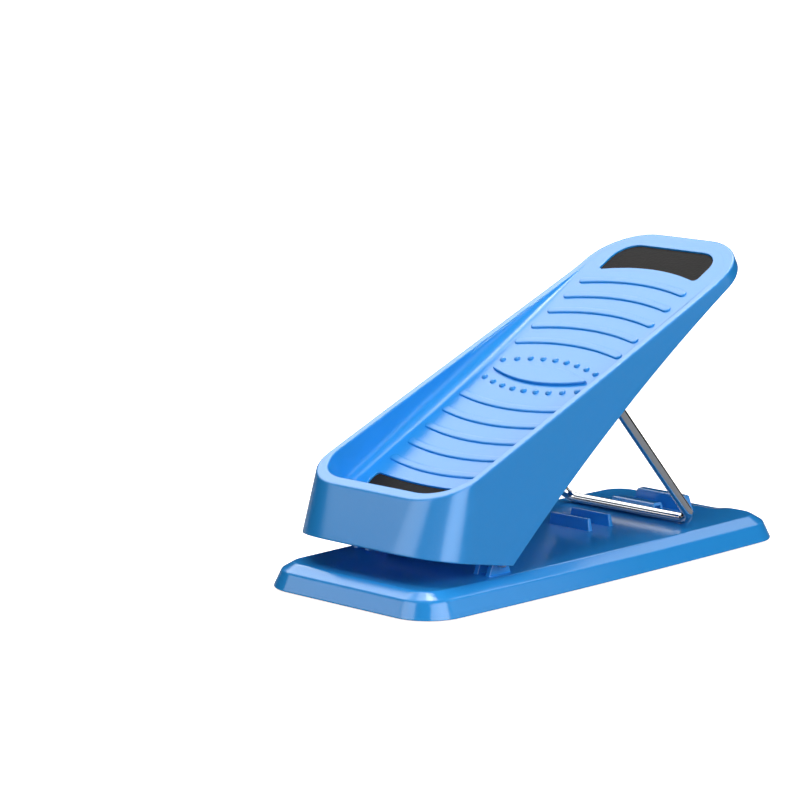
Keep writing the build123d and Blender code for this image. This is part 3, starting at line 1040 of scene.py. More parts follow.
def turned(
    name: str, profile: Sequence[Pair], origin: Vector, axis: Vector, steps: int = 48
) -> bpy.types.Object:
    """Turns a profile round an axis into a closed piece.

    Args:
        name: the object's name.
        profile: (radius, distance along the axis) from one pole to the other, both at radius 0.
        origin: where the distances start.
        axis: the axis's direction.
        steps: facets round the axis.

    Returns:
        The object.
    """
    side = axis.orthogonal().normalized()
    other = axis.cross(side)
    points: Ring = []
    rings: list[list[int]] = []
    for radius, along in profile:
        start = len(points)
        if radius == 0:
            points.append(origin + axis * along)
            rings.append([start] * steps)
            continue
        for step in range(steps):
            angle = 2 * math.pi * step / steps
            way = side * math.cos(angle) + other * math.sin(angle)
            points.append(origin + axis * along + way * radius)
        rings.append(list(range(start, start + steps)))
    faces: list[tuple[int, ...]] = []
    for first, second in zip(rings, rings[1:]):
        for step in range(steps):
            after = (step + 1) % steps
            faces.append(tuple(dict.fromkeys((first[step], first[after], second[after], second[step]))))
    return new_object(name, points, faces)


def smooth_step(value: float) -> float:
    """Eases a value from 0 to 1."""
    value = min(1.0, max(0.0, value))
    return value * value * (3 - 2 * value)


# ---------------------------------------------------------------- repeated shapes


class RepeatTree:
    """A Geometry Nodes tree with named inputs, run on an object of its own."""

    def __init__(self, name: str, inputs: Sequence[Input]) -> None:
        """Starts the tree with a geometry input and output.

        Args:
            name: the tree's name.
            inputs: (name, socket type, default value) of each input.
        """
        geometry, material = ("Geometry", "NodeSocketGeometry"), ("Material", "NodeSocketMaterial")
        every = [(*geometry, None), *inputs, (*material, None)]
        self.sheet, self.inlet, self.outlet = group_tree(name, "GeometryNodeTree", every, [geometry])
        self.name = name

    def finish(self, geometry: Socket) -> None:
        """Ends the tree in Realize Instances, Set Shade Smooth and Set Material.

        Args:
            geometry: what the tree has made.
        """
        real = self.sheet.add("GeometryNodeRealizeInstances", Geometry=geometry)
        smooth = self.sheet.add("GeometryNodeSetShadeSmooth", Geometry=real.outputs[0])
        finish = self.inlet.outputs["Material"]
        coated = self.sheet.add("GeometryNodeSetMaterial", Geometry=smooth.outputs[0], Material=finish)
        self.sheet.feed(self.outlet, Geometry=coated.outputs[0])

    def run(
        self,
        name: str,
        material: bpy.types.Material,
        values: dict[str, object],
        points: Sequence[Vector] = (),
        edges: Sequence[tuple[int, int]] = (),
        floats: dict[str, Sequence[float]] | None = None,
    ) -> bpy.types.Object:
        """Runs the tree and settles its result.

        Args:
            name: the object's name.
            material: the finish that the tree sets.
            values: the tree's inputs by name.
            points: the points of the mesh that the tree starts from, in metres.
            edges: that mesh's edges.
            floats: that mesh's point attributes.

        Returns:
            The object, with a plain mesh.
        """
        mesh = bpy.data.meshes.new(name)
        mesh.from_pydata(list(points), list(edges), [])
        for label, numbers in (floats or {}).items():
            mesh.attributes.new(label, "FLOAT", "POINT").data.foreach_set("value", list(numbers))
        obj = bpy.data.objects.new(name, mesh)
        bpy.context.scene.collection.objects.link(obj)
        modifier = obj.modifiers.new(self.name, "NODES")
        modifier.node_group = self.sheet.tree
        for item in self.sheet.tree.interface.items_tree:
            if item.in_out == "INPUT" and item.name in values:
                modifier[item.identifier] = values[item.name]
            elif item.in_out == "INPUT" and item.name == "Material":
                modifier[item.identifier] = material
        return settle(obj)


def row_inputs(*lengths: str) -> list[Input]:
    """Lists the inputs of a tree that repeats a shape along a row.

    Args:
        lengths: the names of its lengths.

    Returns:
        The lengths, and the shape's count and the row's direction.
    """
    count_and_way = [("Count", "NodeSocketInt", 5), ("Way", "NodeSocketFloat", 1.0)]
    return [*[(name, "NodeSocketFloat", 0.01) for name in lengths], *count_and_way]


def bowed_ribs_tree() -> RepeatTree:
    """Builds the tree that repeats a bowed, round-ended rib along u.

    Returns:
        The tree.
    """
    lengths = ("Half Length", "Sagitta", "Half Width", "Height", "First", "Pitch")
    tree = RepeatTree("bowed_ribs", row_inputs(*lengths))
    sheet, inputs = tree.sheet, tree.inlet.outputs
    drop = sheet.math("MULTIPLY", sheet.math("MULTIPLY", inputs["Sagitta"], inputs["Way"]), -1.0)
    left = sheet.vector(sheet.math("MULTIPLY", inputs["Half Length"], -1.0), drop)
    right = sheet.vector(inputs["Half Length"], drop)
    arc = sheet.add(
        "GeometryNodeCurveArc",
        {"mode": "POINTS"},
        Resolution=44,
        Start=left,
        Middle=(0.0, 0.0, 0.0),
        End=right,
    )
    ring = sheet.add("GeometryNodeCurvePrimitiveCircle", Resolution=32, Radius=inputs["Half Width"])
    tube = sheet.add("GeometryNodeCurveToMesh", Curve=arc.outputs[0], Profile_Curve=ring.outputs[0])
    ball = sheet.add("GeometryNodeMeshUVSphere", Segments=32, Rings=16, Radius=inputs["Half Width"])
    first_end = sheet.add("GeometryNodeTransform", Geometry=ball.outputs[0], Translation=left)
    last_end = sheet.add("GeometryNodeTransform", Geometry=ball.outputs[0], Translation=right)
    joined = sheet.add("GeometryNodeJoinGeometry")
    for part in (last_end, first_end, tube):
        sheet.feed(joined, Geometry=part.outputs[0])
    squash = sheet.math("DIVIDE", inputs["Height"], inputs["Half Width"])
    place = sheet.position()
    share = sheet.math("DIVIDE", sheet.math("ABSOLUTE", place[2]), inputs["Half Width"])
    left_over = sheet.math("POWER", sheet.math("MAXIMUM", sheet.math("SUBTRACT", 1.0, share), 0.0), 2.1)
    level = sheet.math("MULTIPLY", sheet.math("SUBTRACT", 1.0, left_over), inputs["Half Width"])
    crowned = sheet.vector(place[0], place[1], sheet.math("MULTIPLY", level, sheet.math("SIGN", place[2])))
    crown = sheet.add("GeometryNodeSetPosition", Geometry=joined.outputs[0], Position=crowned)
    flatter = sheet.vector(1.0, 1.0, squash)
    rib = sheet.add("GeometryNodeTransform", Geometry=crown.outputs[0], Scale=flatter)
    pitch = sheet.math("MULTIPLY", inputs["Pitch"], inputs["Way"])
    line = sheet.add(
        "GeometryNodeMeshLine",
        Count=inputs["Count"],
        Start_Location=sheet.vector(0.0, inputs["First"]),
        Offset=sheet.vector(0.0, pitch),
    )
    placed = sheet.add("GeometryNodeInstanceOnPoints", Points=line.outputs[0], Instance=rib.outputs[0])
    tree.finish(placed.outputs[0])
    return tree


def dot_rows_tree() -> RepeatTree:
    """Builds the tree that sets domes along a bowed row.

    Returns:
        The tree.
    """
    lengths = ("Half Span", "Centre", "Row Middle", "Row Rise", "Radius", "Height")
    tree = RepeatTree("dot_rows", row_inputs(*lengths))
    sheet, inputs = tree.sheet, tree.inlet.outputs
    start = sheet.vector(sheet.math("MULTIPLY", inputs["Half Span"], -1.0))
    end = sheet.vector(inputs["Half Span"])
    ends = {"mode": "END_POINTS"}
    line = sheet.add("GeometryNodeMeshLine", ends, Count=inputs["Count"], Start_Location=start, Offset=end)
    share = sheet.math("DIVIDE", sheet.position()[0], inputs["Half Span"])
    rise = sheet.math("MULTIPLY", sheet.math("MULTIPLY", share, share), inputs["Row Rise"])
    bow = sheet.math("MULTIPLY", sheet.math("SUBTRACT", inputs["Row Middle"], rise), inputs["Way"])
    shift = sheet.vector(0.0, sheet.math("ADD", bow, inputs["Centre"]))
    row = sheet.add("GeometryNodeSetPosition", Geometry=line.outputs[0], Offset=shift)
    ball = sheet.add("GeometryNodeMeshUVSphere", Segments=18, Rings=10, Radius=inputs["Radius"])
    squash = sheet.math("DIVIDE", inputs["Height"], inputs["Radius"])
    flatter = sheet.vector(1.0, 1.0, squash)
    dome = sheet.add("GeometryNodeTransform", Geometry=ball.outputs[0], Scale=flatter)
    placed = sheet.add("GeometryNodeInstanceOnPoints", Points=row.outputs[0], Instance=dome.outputs[0])
    tree.finish(placed.outputs[0])
    return tree


def web_rows_tree() -> RepeatTree:
    """Builds the tree that repeats a straight stiffening web.

    Returns:
        The tree.
    """
    vectors = [(name, "NodeSocketVector", (0.0, 0.01, 0.0)) for name in ("Size", "Start", "Step")]
    tree = RepeatTree("web_rows", [*vectors, ("Count", "NodeSocketInt", 3)])
    sheet, inputs = tree.sheet, tree.inlet.outputs
    web = sheet.add("GeometryNodeMeshCube", Size=inputs["Size"])
    start, step = inputs["Start"], inputs["Step"]
    line = sheet.add("GeometryNodeMeshLine", Count=inputs["Count"], Start_Location=start, Offset=step)
    placed = sheet.add("GeometryNodeInstanceOnPoints", Points=line.outputs[0], Instance=web.outputs[0])
    tree.finish(placed.outputs[0])
    return tree


def in_metres(lengths: dict[str, float]) -> dict[str, float]:
    """Turns named millimetre lengths to metres."""
    return {name: length * MM for name, length in lengths.items()}


@dataclass(frozen=True)
class WebRow:
    """A row of equal stiffening webs."""

    name: str
    size: Triple
    start: Triple
    step: Triple
    count: int

    def values(self) -> dict[str, object]:
        """Lists the row for the tree that repeats webs.

        Returns:
            The tree's inputs by name.
        """
        vectors = {"Size": self.size, "Start": self.start, "Step": self.step}
        metres = {label: [number * MM for number in vector] for label, vector in vectors.items()}
        return {**metres, "Count": self.count}


def bent_wire_tree() -> RepeatTree:
    """Builds the tree that bends a wire along a polyline, with a bend radius at each point.

    Returns:
        The tree.
    """
    tree = RepeatTree("bent_wire", [("Wire Radius", "NodeSocketFloat", 0.003)])
    sheet, inputs = tree.sheet, tree.inlet.outputs
    curve = sheet.add("GeometryNodeMeshToCurve", Mesh=inputs["Geometry"]).outputs[0]
    reach = sheet.add("GeometryNodeInputNamedAttribute", {"data_type": "FLOAT"}, Name="bend").outputs[0]
    bent = sheet.add("GeometryNodeFilletCurve", {"mode": "POLY"}, Curve=curve, Count=16, Radius=reach)
    ring = sheet.add("GeometryNodeCurvePrimitiveCircle", Resolution=28, Radius=inputs["Wire Radius"])
    sweep = {"Profile_Curve": ring.outputs[0], "Fill_Caps": True}
    wire = sheet.add("GeometryNodeCurveToMesh", Curve=bent.outputs[0], **sweep)
    tree.finish(wire.outputs[0])
    return tree


# ---------------------------------------------------------------- sub-assemblies


def foot_places() -> list[tuple[str, float, float]]:
    """Lists the four feet.

    Returns:
        The name, x and y of each.
    """
    places = []
    for end, along in ENDS:
        for hand, side in SIDES:
            places.append((f"{end}_{hand}", side * FOOT_CENTRE[0], along * FOOT_CENTRE[1]))
    return places


@dataclass
class Sole:
    """The sole's own directions, and their place on the ground."""

    y: float = -4.0334856
    z: float = 99.4097149
    tilt: float = math.radians(27.63)

    def place(self, point: Vector) -> Vector:
        """Takes a point from the sole's directions to the ground's.

        Args:
            point: (x, u, v).

        Returns:
            (x, y, z).
        """
        x, u, v = point
        cos, sin = math.cos(self.tilt), math.sin(self.tilt)
        return Vector((x, self.y + u * cos - v * sin, self.z + u * sin + v * cos))


@dataclass
class PadOutline:
    """A grip pad's outline: a concave edge towards the middle, and a rounded far end."""

    half_width: float
    far: float
    near: float
    arch: float
    far_radius: float
    tip_reach: float = 3.5

    def loop(self, inset: float = 0.0) -> Ring:
        """Draws the outline anticlockwise, in (x, u).

        Args:
            inset: how far the outline moves in.

        Returns:
            The loop.
        """
        way = 1 if self.far > self.near else -1
        radius = (self.half_width**2 + self.arch**2) / (2 * self.arch)
        span = math.asin(self.half_width / radius) - self.tip_reach / radius
        middle = Vector((0.0, self.near + way * (self.arch - radius)))
        loop = bowed_run(middle, radius, span, way, 32)
        for side in (-1, 1):
            tip = Vector((side * self.half_width, self.near))
            far = Vector((side * self.half_width, self.far))
            edge = middle + Vector((side * math.sin(span) * radius, way * math.cos(span) * radius))
            run = bend(edge, tip, tip + Vector((0.0, way * self.tip_reach)), 8)
            corner_start = far - Vector((0.0, way * self.far_radius))
            corner_end = far - Vector((side * self.far_radius, 0.0))
            run += bend(corner_start, far, corner_end, 16)
            loop += run if side < 0 else list(reversed(run))
        loop = anticlockwise(loop)
        cleaned = [point for index, point in enumerate(loop) if (point - loop[index - 1]).length > 1e-4]
        return inset_loop(cleaned, inset) if inset else cleaned


@dataclass
class FootPlate:
    """The tray that carries the foot: shell, relief, grip pads, knuckles and bail sockets."""

    plastic: bpy.types.Material
    rubber: bpy.types.Material
    sole: Sole = field(default_factory=Sole)
    # The outer wall: its rim, its outline and its lower edge.
    rim_flush: float = 114.6
    rim_rise: float = math.tan(math.radians(5.24))
    rim_blend: float = 0.4
    heel_rim: float = -127.9
    heel_lean: float = math.radians(48.5)
    flare: float = math.tan(math.radians(4.0))
    half_widths: Triple = (57.6, 55.4, 51.5)
    toe: float = 154.9
    toe_radius: float = 33.5
    heel_radius: float = 28.0
    radius_growth: float = 0.3
    keel: Pair = (-102.4, -36.1)
    belly: Pair = (6.0, -17.0)
    toe_low: Pair = (157.9, -7.2)
    heel_slope: float = math.tan(math.radians(38.3))
    wall: float = 3.0
    sole_thickness: float = 4.0
    # The recess above the sole, and the ledge under it.
    recess_half_widths: Triple = (50.6, 49.3, 47.2)
    recess_heel: float = -119.6
    recess_heel_radius: float = 23.0
    recess_toe: float = 148.0
    recess_toe_radius: float = 29.0
    recess_split: float = -86.0
    recess_draft: float = math.tan(math.radians(3.0))
    recess_height: float = 20.0
    ledge_in: Pair = (4.2, 4.6)
    ledge_radii: Pair = (24.0, 28.0)
    ledge_split: float = -88.0
    ledge_lip: float = 0.8
    ledge_gap: float = 0.03
    ledge_clearance: float = 2.0
    # The recess's inner rounding.
    fillet_reaches: Triple = (4.5, 6.0, 8.0)
    fillet_break: float = -85.0
    fillet_runs: Pair = (34.6, 60.0)
    fillet_share: float = 1.9
    fillet_steps: Triple = (0.7, 1.4, 2.0)
    # Stations along the outline, and where its sides split.
    counts: tuple[int, ...] = (8, 26, 8, 52, 22, 8)
    split_slope: float = 0.2056
    # The hollow under the heel, and the pockets that the pads lie in.
    pocket_top: float = 16.2
    pocket_half_width: float = 26.0
    pocket_blend: float = 14.0
    pocket_depth: float = 2.0
    pocket_margins: Triple = (0.9, 0.25, 0.8)
    pocket_edge: float = 0.35
    pad_thickness: float = 1.2
    pad_clearance: float = 0.15
    # The relief on the sole.
    rib_half_length: float = 37.2
    rib_half_width: float = 2.5
    rib_height: float = 1.0
    rib_sagitta: float = 5.0
    rib_pitch: float = 15.6
    rib_count: int = 5
    rib_firsts: Pair = (44.5, -17.4)
    relief_centre: float = 12.9
    lens_half: Pair = (36.4, 7.8)
    lens_levels: Pair = (-0.4, 1.6)
    lens_edge: float = 0.7
    lens_tip: float = 2.6
    dot_radius: float = 1.9
    dot_height: float = 1.35
    dot_count: int = 9
    dot_half_span: float = 34.8
    dot_row: Pair = (14.9, 6.4)
    # The webs, the knuckles and the bail's sockets.
    web_thickness: float = 2.0
    hanger_root_half: float = 10.0
    hanger_overlap: float = 2.0
    hinge: Pair = (-102.6, -32.2)
    knuckle_radius: float = 5.0
    knuckle_span: Pair = (43.0, 48.0)
    bail_pivot: Pair = (17.0, -10.0)
    socket_radius: float = 5.5
    socket_span: Pair = (48.9, 54.2)

    def __post_init__(self) -> None:
        """Works out the levels, the arc of the lower edge and the pads' outlines."""
        self.rim_level = (self.rim_flush - self.heel_rim) * self.rim_rise
        self.top_level = self.rim_level + 2.0
        self.low_level = self.keel[1] - 2.0
        self.under_level = -2.0
        self.arc_centre, self.arc_radius = circle_through(self.toe_low, self.belly, self.keel)
        self.toe_pad = PadOutline(36.5, self.toe - 12.7, self.toe - 40.4, 6.3, 14.0)
        self.heel_pad = PadOutline(38.5, self.recess_heel + 8.6, self.recess_heel + 31.3, 3.2, 18.0, 2.9)

    def rim_at(self, u: float) -> float:
        """The rim's level at u, eased where it comes flush with the sole."""
        rise = (self.rim_flush - u) * self.rim_rise
        return (rise + math.sqrt(rise * rise + self.rim_blend**2)) / 2

    def lower_edge_at(self, u: float) -> float:
        """Finds the lower edge's level, on the heel's slope or on the arc.

        Args:
            u: where, along the sole.

        Returns:
            The level.
        """
        if u < self.keel[0]:
            return self.keel[1] - self.heel_slope * (u - self.keel[0])
        across = self.arc_radius**2 - (u - self.arc_centre[0]) ** 2
        way = 1 if self.arc_centre[1] < self.belly[1] else -1
        return self.arc_centre[1] + way * math.sqrt(across)

    def outline(self, level: float, inset: float = 0.0) -> PlanOutline:
        """Draws the outer outline at a level.

        Args:
            level: the level.
            inset: how far the outline moves in.

        Returns:
            The outline.
        """
        spread = -level * self.flare - inset
        leant = (level - self.rim_level) * math.tan(self.heel_lean)
        heel = self.heel_rim + leant + inset / math.cos(self.heel_lean)
        split = self.keel[0] + (level - self.keel[1]) * self.split_slope
        radius = self.heel_radius + (self.rim_level - level) * self.radius_growth - inset
        widths = tuple(width + spread for width in self.half_widths)
        return PlanOutline(heel, self.toe - inset, widths, radius, self.toe_radius - inset, split)

    def recess_outline(self, level: float) -> PlanOutline:
        """Draws the recess's outline at a level.

        Args:
            level: the level.

        Returns:
            The outline.
        """
        spread = level * self.recess_draft
        widths = tuple(width + spread for width in self.recess_half_widths)
        radii = (self.recess_heel_radius, self.recess_toe_radius)
        return PlanOutline(self.recess_heel - spread, self.recess_toe, widths, *radii, self.recess_split)

    def ledge_outline(self) -> PlanOutline:
        """Draws the edge of the flat underside of the sole.

        Returns:
            The outline.
        """
        widths = tuple(width - self.ledge_in[0] for width in self.half_widths)
        heel, toe = self.recess_heel - self.wall, self.toe - self.ledge_in[1]
        return PlanOutline(heel, toe, widths, *self.ledge_radii, self.ledge_split)

    def wall_lines(self, inset: float) -> list[Ruling]:
        """Rules the side walls.

        Args:
            inset: how far the walls move in.

        Returns:
            A line for each station.
        """
        top = self.outline(self.top_level, inset).stations(self.counts)
        low = self.outline(self.low_level, inset).stations(self.counts)
        levels = (self.low_level, self.top_level)
        return [Ruling(lower[0], upper[0], *levels) for upper, lower in zip(top, low)]

    def fillet_reach(self, u: float) -> float:
        """Finds the reach of the recess's inner rounding: wide along the sides, tighter at the heel.

        Args:
            u: where, along the sole.

        Returns:
            The reach.
        """
        tight, usual, wide = self.fillet_reaches
        if u < self.fillet_break:
            return tight + (usual - tight) * smooth_step((u - self.recess_heel) / self.fillet_runs[0])
        return usual + (wide - usual) * smooth_step((u - self.fillet_break) / self.fillet_runs[1])

    def pocket_share(self, x: float, u: float) -> float:
        """Finds how much of the heel pocket's height there is at a point on the ledge.

        Args:
            x: the point's x.
            u: its u.

        Returns:
            The share.
        """
        return 0.0 if u > 0 else 1 - smooth_step((abs(x) - self.pocket_half_width) / self.pocket_blend)

    def build_shell(self) -> bpy.types.Object:
        """Builds the tray's shell, from the hollow underside over the rim to the sole.

        Returns:
            The object.
        """
        stations = zip(
            self.wall_lines(0.0),
            self.wall_lines(self.wall),
            self.ledge_outline().stations(self.counts),
            self.recess_outline(0.0).stations(self.counts),
            self.recess_outline(self.recess_height).stations(self.counts),
        )
        profiles = [self.station_profile(*station) for station in stations]
        shell = ShellBuilder()
        rings = shell.add_columns([points for points, _ in profiles], [edges for _, edges in profiles])
        shell.fill(rings[0])
        holes = [self.sink_pocket(shell, pad) for pad in (self.toe_pad, self.heel_pad)]
        shell.fill(rings[-1], holes)
        return shell.build("tray_shell", self.sole.place)

    def station_profile(
        self, outer: Ruling, inner: Ruling, ledge: Station, recess: Station, recess_top: Station
    ) -> tuple[Ring, list[float]]:
        """Draws the shell's profile at one station, from the ledge over the rim to the sole.

        Args:
            outer: the line up the outside of the wall.
            inner: the line up its inside.
            ledge: the edge of the flat underside of the sole.
            recess: the foot of the recess's wall.
            recess_top: the same wall high up.

        Returns:
            The profile's points and their edge values.
        """
        low_out = outer.meet(self.lower_edge_at, self.low_level, self.top_level)
        low_in = inner.meet(self.lower_edge_at, self.low_level, self.top_level)
        rim_out = outer.meet(self.rim_at, self.under_level, self.top_level)
        recess_line = Ruling(recess[0], recess_top[0], 0.0, self.recess_height)
        rim_in = recess_line.meet(self.rim_at, self.under_level, self.top_level)
        foot = recess_line.at(0.0)
        height = rim_in[2]
        reach = self.fillet_reach(foot[1])
        floor_run = min(reach, self.fillet_share * height)
        inward = -lifted(recess[1], 0.0)
        edge, ledge_way = ledge
        ceiling = -self.sole_thickness
        least = ceiling + self.ledge_gap
        pocket = least + (self.pocket_top - ceiling) * self.pocket_share(edge[0], edge[1])
        pocket = max(pocket, low_in[2] + self.ledge_clearance if edge[1] < 0 else least)
        ledge_low = lifted(edge, ceiling)
        rim_soft = min(1.0, 0.45 * height + 0.05)
        first_step, second_step, last_step = self.fillet_steps
        floor_end = foot + inward * (floor_run / REACH_LIMIT if floor_run < 1 else floor_run + last_step)
        points, edges = self.round_profile(
            first_step,
            Corner(ledge_low - lifted(ledge_way, 0.0) * self.ledge_lip),
            Corner(ledge_low, 0.5, 0.5, 2),
            Corner(lifted(edge, pocket), 0.5, 0.5, 2),
            Corner(inner.at(pocket), 1.5, 1.5, 4),
            Corner(low_in, 0.5, 0.5, 3, True),
            Corner(low_out, 0.6, 0.6, 4, True),
            Corner(rim_out, 1.1, 1.1, 6, True),
            Corner(rim_in, rim_soft, rim_soft, 5, True),
            Corner(foot, min(reach, 0.9 * height), floor_run, 12),
            Corner(floor_end),
        )
        return [*points, foot + inward * (floor_run + second_step)], [*edges, 0.0]

    @staticmethod
    def round_profile(support: float, *corners: Corner) -> tuple[Ring, list[float]]:
        """Rounds a station's profile, with its wide inner rounding kept clear of the usual limit.

        Args:
            support: how far beyond the wide rounding the last point is.
            corners: the profile's corners, of which the last but one has the wide rounding.

        Returns:
            The points and their edge values.
        """
        *others, rim, floor, beyond = corners
        points, edges = rounded_profile([*others, rim, Corner(floor.at)])
        up = (rim.at - floor.at).normalized()
        across = (beyond.at - floor.at).normalized()
        end = floor.at + across * floor.after
        turn = math.pi - up.angle(across, math.pi / 2)
        run = conic_run(floor.at + up * floor.before, floor.at, end, turn, floor.steps)
        return [*points[:-1], *run, end + across * support], [*edges[:-1], *[0.0] * (len(run) + 1)]

    def sink_pocket(self, shell: ShellBuilder, pad: PadOutline) -> list[int]:
        """Sinks a pad's pocket into the sole.

        Args:
            shell: the shell being built.
            pad: the pad's outline.

        Returns:
            The ring that the sole's flat face must leave open.
        """
        loop = pad.loop()
        margin, root, floor_in = self.pocket_margins
        soft, floor, steps = self.pocket_edge, -self.pocket_depth, 4
        rings = [shell.add_ring(at_level(inset_loop(loop, -margin), 0.0))]
        for step in range(steps + 1):
            angle = math.pi / 2 * step / steps
            level = -soft * (1 - math.cos(angle))
            ring = at_level(inset_loop(loop, -soft * (1 - math.sin(angle))), level)
            rings.append(shell.add_ring(ring, math.sin(2 * angle)))
        for inset, level in ((0.0, -soft - 0.2), (0.0, root + floor), (root, floor), (floor_in, floor)):
            ring = inset_loop(loop, inset) if inset else loop
            rings.append(shell.add_ring(at_level(ring, level)))
        shell.skin(rings)
        shell.fill(rings[-1])
        return rings[0]

    def drape(self, obj: bpy.types.Object, shell: bpy.types.Object, drop: float = 3.0) -> None:
        """Lays relief that was built flat in (x, u, v) on the sole, following its inner rounding.

        Args:
            obj: the relief, in metres and in the sole's directions.
            shell: the tray's shell.
            drop: the height above the sole that the shell is looked for from.
        """
        tree = BVHTree.FromObject(shell, bpy.context.evaluated_depsgraph_get())
        down = self.sole.place(-UP) - self.sole.place(Vector((0.0, 0.0, 0.0)))
        for vertex in obj.data.vertices:
            x, u, v = vertex.co / MM
            start = self.sole.place(Vector((x, u, drop))) * MM
            hit = tree.ray_cast(start, down, 0.02)
            lift = drop - hit[3] / MM if hit[0] is not None else 0.0
            vertex.co = self.sole.place(Vector((x, u, v + lift))) * MM

    def build_relief(self, shell: bpy.types.Object) -> list[bpy.types.Object]:
        """Builds the ribs, the dots and the lens on the sole.

        Args:
            shell: the tray's shell, which the relief lies on.

        Returns:
            The objects.
        """
        ribs, dots = bowed_ribs_tree(), dot_rows_tree()
        rib = {
            "Half Length": self.rib_half_length,
            "Sagitta": self.rib_sagitta,
            "Half Width": self.rib_half_width,
            "Height": self.rib_height,
            "Pitch": self.rib_pitch,
        }
        dot = {
            "Half Span": self.dot_half_span,
            "Centre": self.relief_centre,
            "Row Middle": self.dot_row[0],
            "Row Rise": self.dot_row[1],
            "Radius": self.dot_radius,
            "Height": self.dot_height,
        }
        ways = {"toe": 1.0, "heel": -1.0}
        pieces = []
        for (end, way), first in zip(ways.items(), self.rib_firsts):
            values = {**in_metres({**rib, "First": first}), "Count": self.rib_count, "Way": way}
            pieces.append(ribs.run(f"{end}_ribs", self.plastic, values))
        for end, way in ways.items():
            values = {**in_metres(dot), "Count": self.dot_count, "Way": way}
            pieces.append(dots.run(f"{end}_dots", self.plastic, values))
        for piece in pieces:
            self.drape(piece, shell)
        lens = plug_shell("arch_lens", self.lens_loop(), *self.lens_levels, self.lens_edge, self.sole.place)
        return [*pieces, lens]

    def lens_loop(self) -> Ring:
        """Draws the lens's outline: two arcs with rounded tips.

        Returns:
            The loop, anticlockwise, in (x, u).
        """
        half, width = self.lens_half
        radius = (half**2 + width**2) / (2 * width)
        span = math.asin(half / radius) - self.lens_tip / radius
        loop: Ring = []
        for way in (-1, 1):
            middle = Vector((0.0, self.relief_centre - way * (radius - width)))
            run = bowed_run(middle, radius, span * way, way, 40)
            tip = Vector((-way * half, self.relief_centre))
            mirror = Vector((run[-1][0], 2 * self.relief_centre - run[-1][1]))
            loop += [*run, *bend(run[-1], tip, mirror, 8)[1:-1]]
        return anticlockwise(loop)

    def build_webs(self) -> list[bpy.types.Object]:
        """Builds the stiffening webs under the sole.

        Returns:
            The objects.
        """
        tree = web_rows_tree()
        low, thick = -self.sole_thickness, self.web_thickness
        rows = (
            WebRow("heel_webs", (106.0, thick, 5.0), (0.0, -72.0, low - 1.5), (0.0, 30.0, 0.0), 3),
            WebRow("toe_webs", (100.0, thick, 5.0), (0.0, 48.0, low - 1.5), (0.0, 30.0, 0.0), 3),
            WebRow("long_webs", (thick, 267.0, 4.0), (-19.0, 16.5, low - 1.0), (38.0, 0.0, 0.0), 2),
        )
        pieces = []
        for row in rows:
            piece = tree.run(row.name, self.plastic, row.values())
            for vertex in piece.data.vertices:
                vertex.co = self.sole.place(vertex.co / MM) * MM
            pieces.append(soften(piece, 0.35, 2))
        return pieces

    def build_hangers(self) -> list[bpy.types.Object]:
        """Builds the hinge knuckles and the bail's sockets.

        Returns:
            The objects.
        """
        pieces = []
        root, half = self.hanger_overlap - self.sole_thickness, self.hanger_root_half
        knuckle = hanger_profile(self.hinge, self.knuckle_radius, half, root)
        socket = hanger_profile(self.bail_pivot, self.socket_radius, half, root)
        for hand, side in SIDES:
            inner, outer = self.knuckle_span
            ends = Span(inner, outer) if side > 0 else Span(-outer, -inner)
            pieces.append(soften(prism(f"knuckle_{hand}", knuckle, ends, self.sole.place), 0.5))
            ends = Span(side * self.socket_span[0], side * self.socket_span[1])
            pieces.append(soften(prism(f"bail_socket_{hand}", socket, ends, self.sole.place), 0.6))
        return pieces

    def build(self) -> None:
        """Builds and dresses every piece of the foot plate."""
        shell = self.build_shell()
        pieces = [shell, *self.build_relief(shell), *self.build_webs(), *self.build_hangers()]
        for piece in pieces:
            dress(piece, self.plastic, Body.TRAY, Slot.PLATE_PLASTIC, ["foot_plate"])
        top = self.pad_thickness - self.pocket_depth
        for label, pad in (("toe", self.toe_pad), ("heel", self.heel_pad)):
            loop = pad.loop(self.pad_clearance)
            piece = plug_shell(f"{label}_grip", loop, -self.pocket_depth, top, 0.4, self.sole.place)
            dress(piece, self.rubber, Body.TRAY, Slot.GRIP_PAD, [f"{label}_pad"])


@dataclass(frozen=True)
class Catch:
    """A block on the deck that holds the bail's bar, and draws in from its foot to its top.

    Its distance is taken from the base's toe end.
    """

    name: str
    distance: float
    height: float
    half_length: float
    draw_in: float
    half_foot: float
    half_top: float
    softness: float
    steps: int = 3

    def profile(self, y: float, low: float, high: float) -> list[Pair]:
        """Draws the outline.

        Args:
            y: its middle.
            low: its root's level.
            high: its top's level.

        Returns:
            The outline.
        """
        foot, top = self.half_foot, self.half_top
        return [(y - foot, low), (y + foot, low), (y + top, high), (y - top, high)]

    def build(self, toe: float, deck: float, root: float) -> bpy.types.Object:
        """Builds the catch.

        Args:
            toe: the y of the base's toe end.
            deck: the deck's level.
            root: the root's level.

        Returns:
            The object.
        """
        profile = self.profile(toe - self.distance, root, deck + self.height)
        ends = Span(-self.half_length, self.half_length, self.draw_in, deck, self.height)
        return soften(prism(self.name, profile, ends, in_place), self.softness, self.steps)


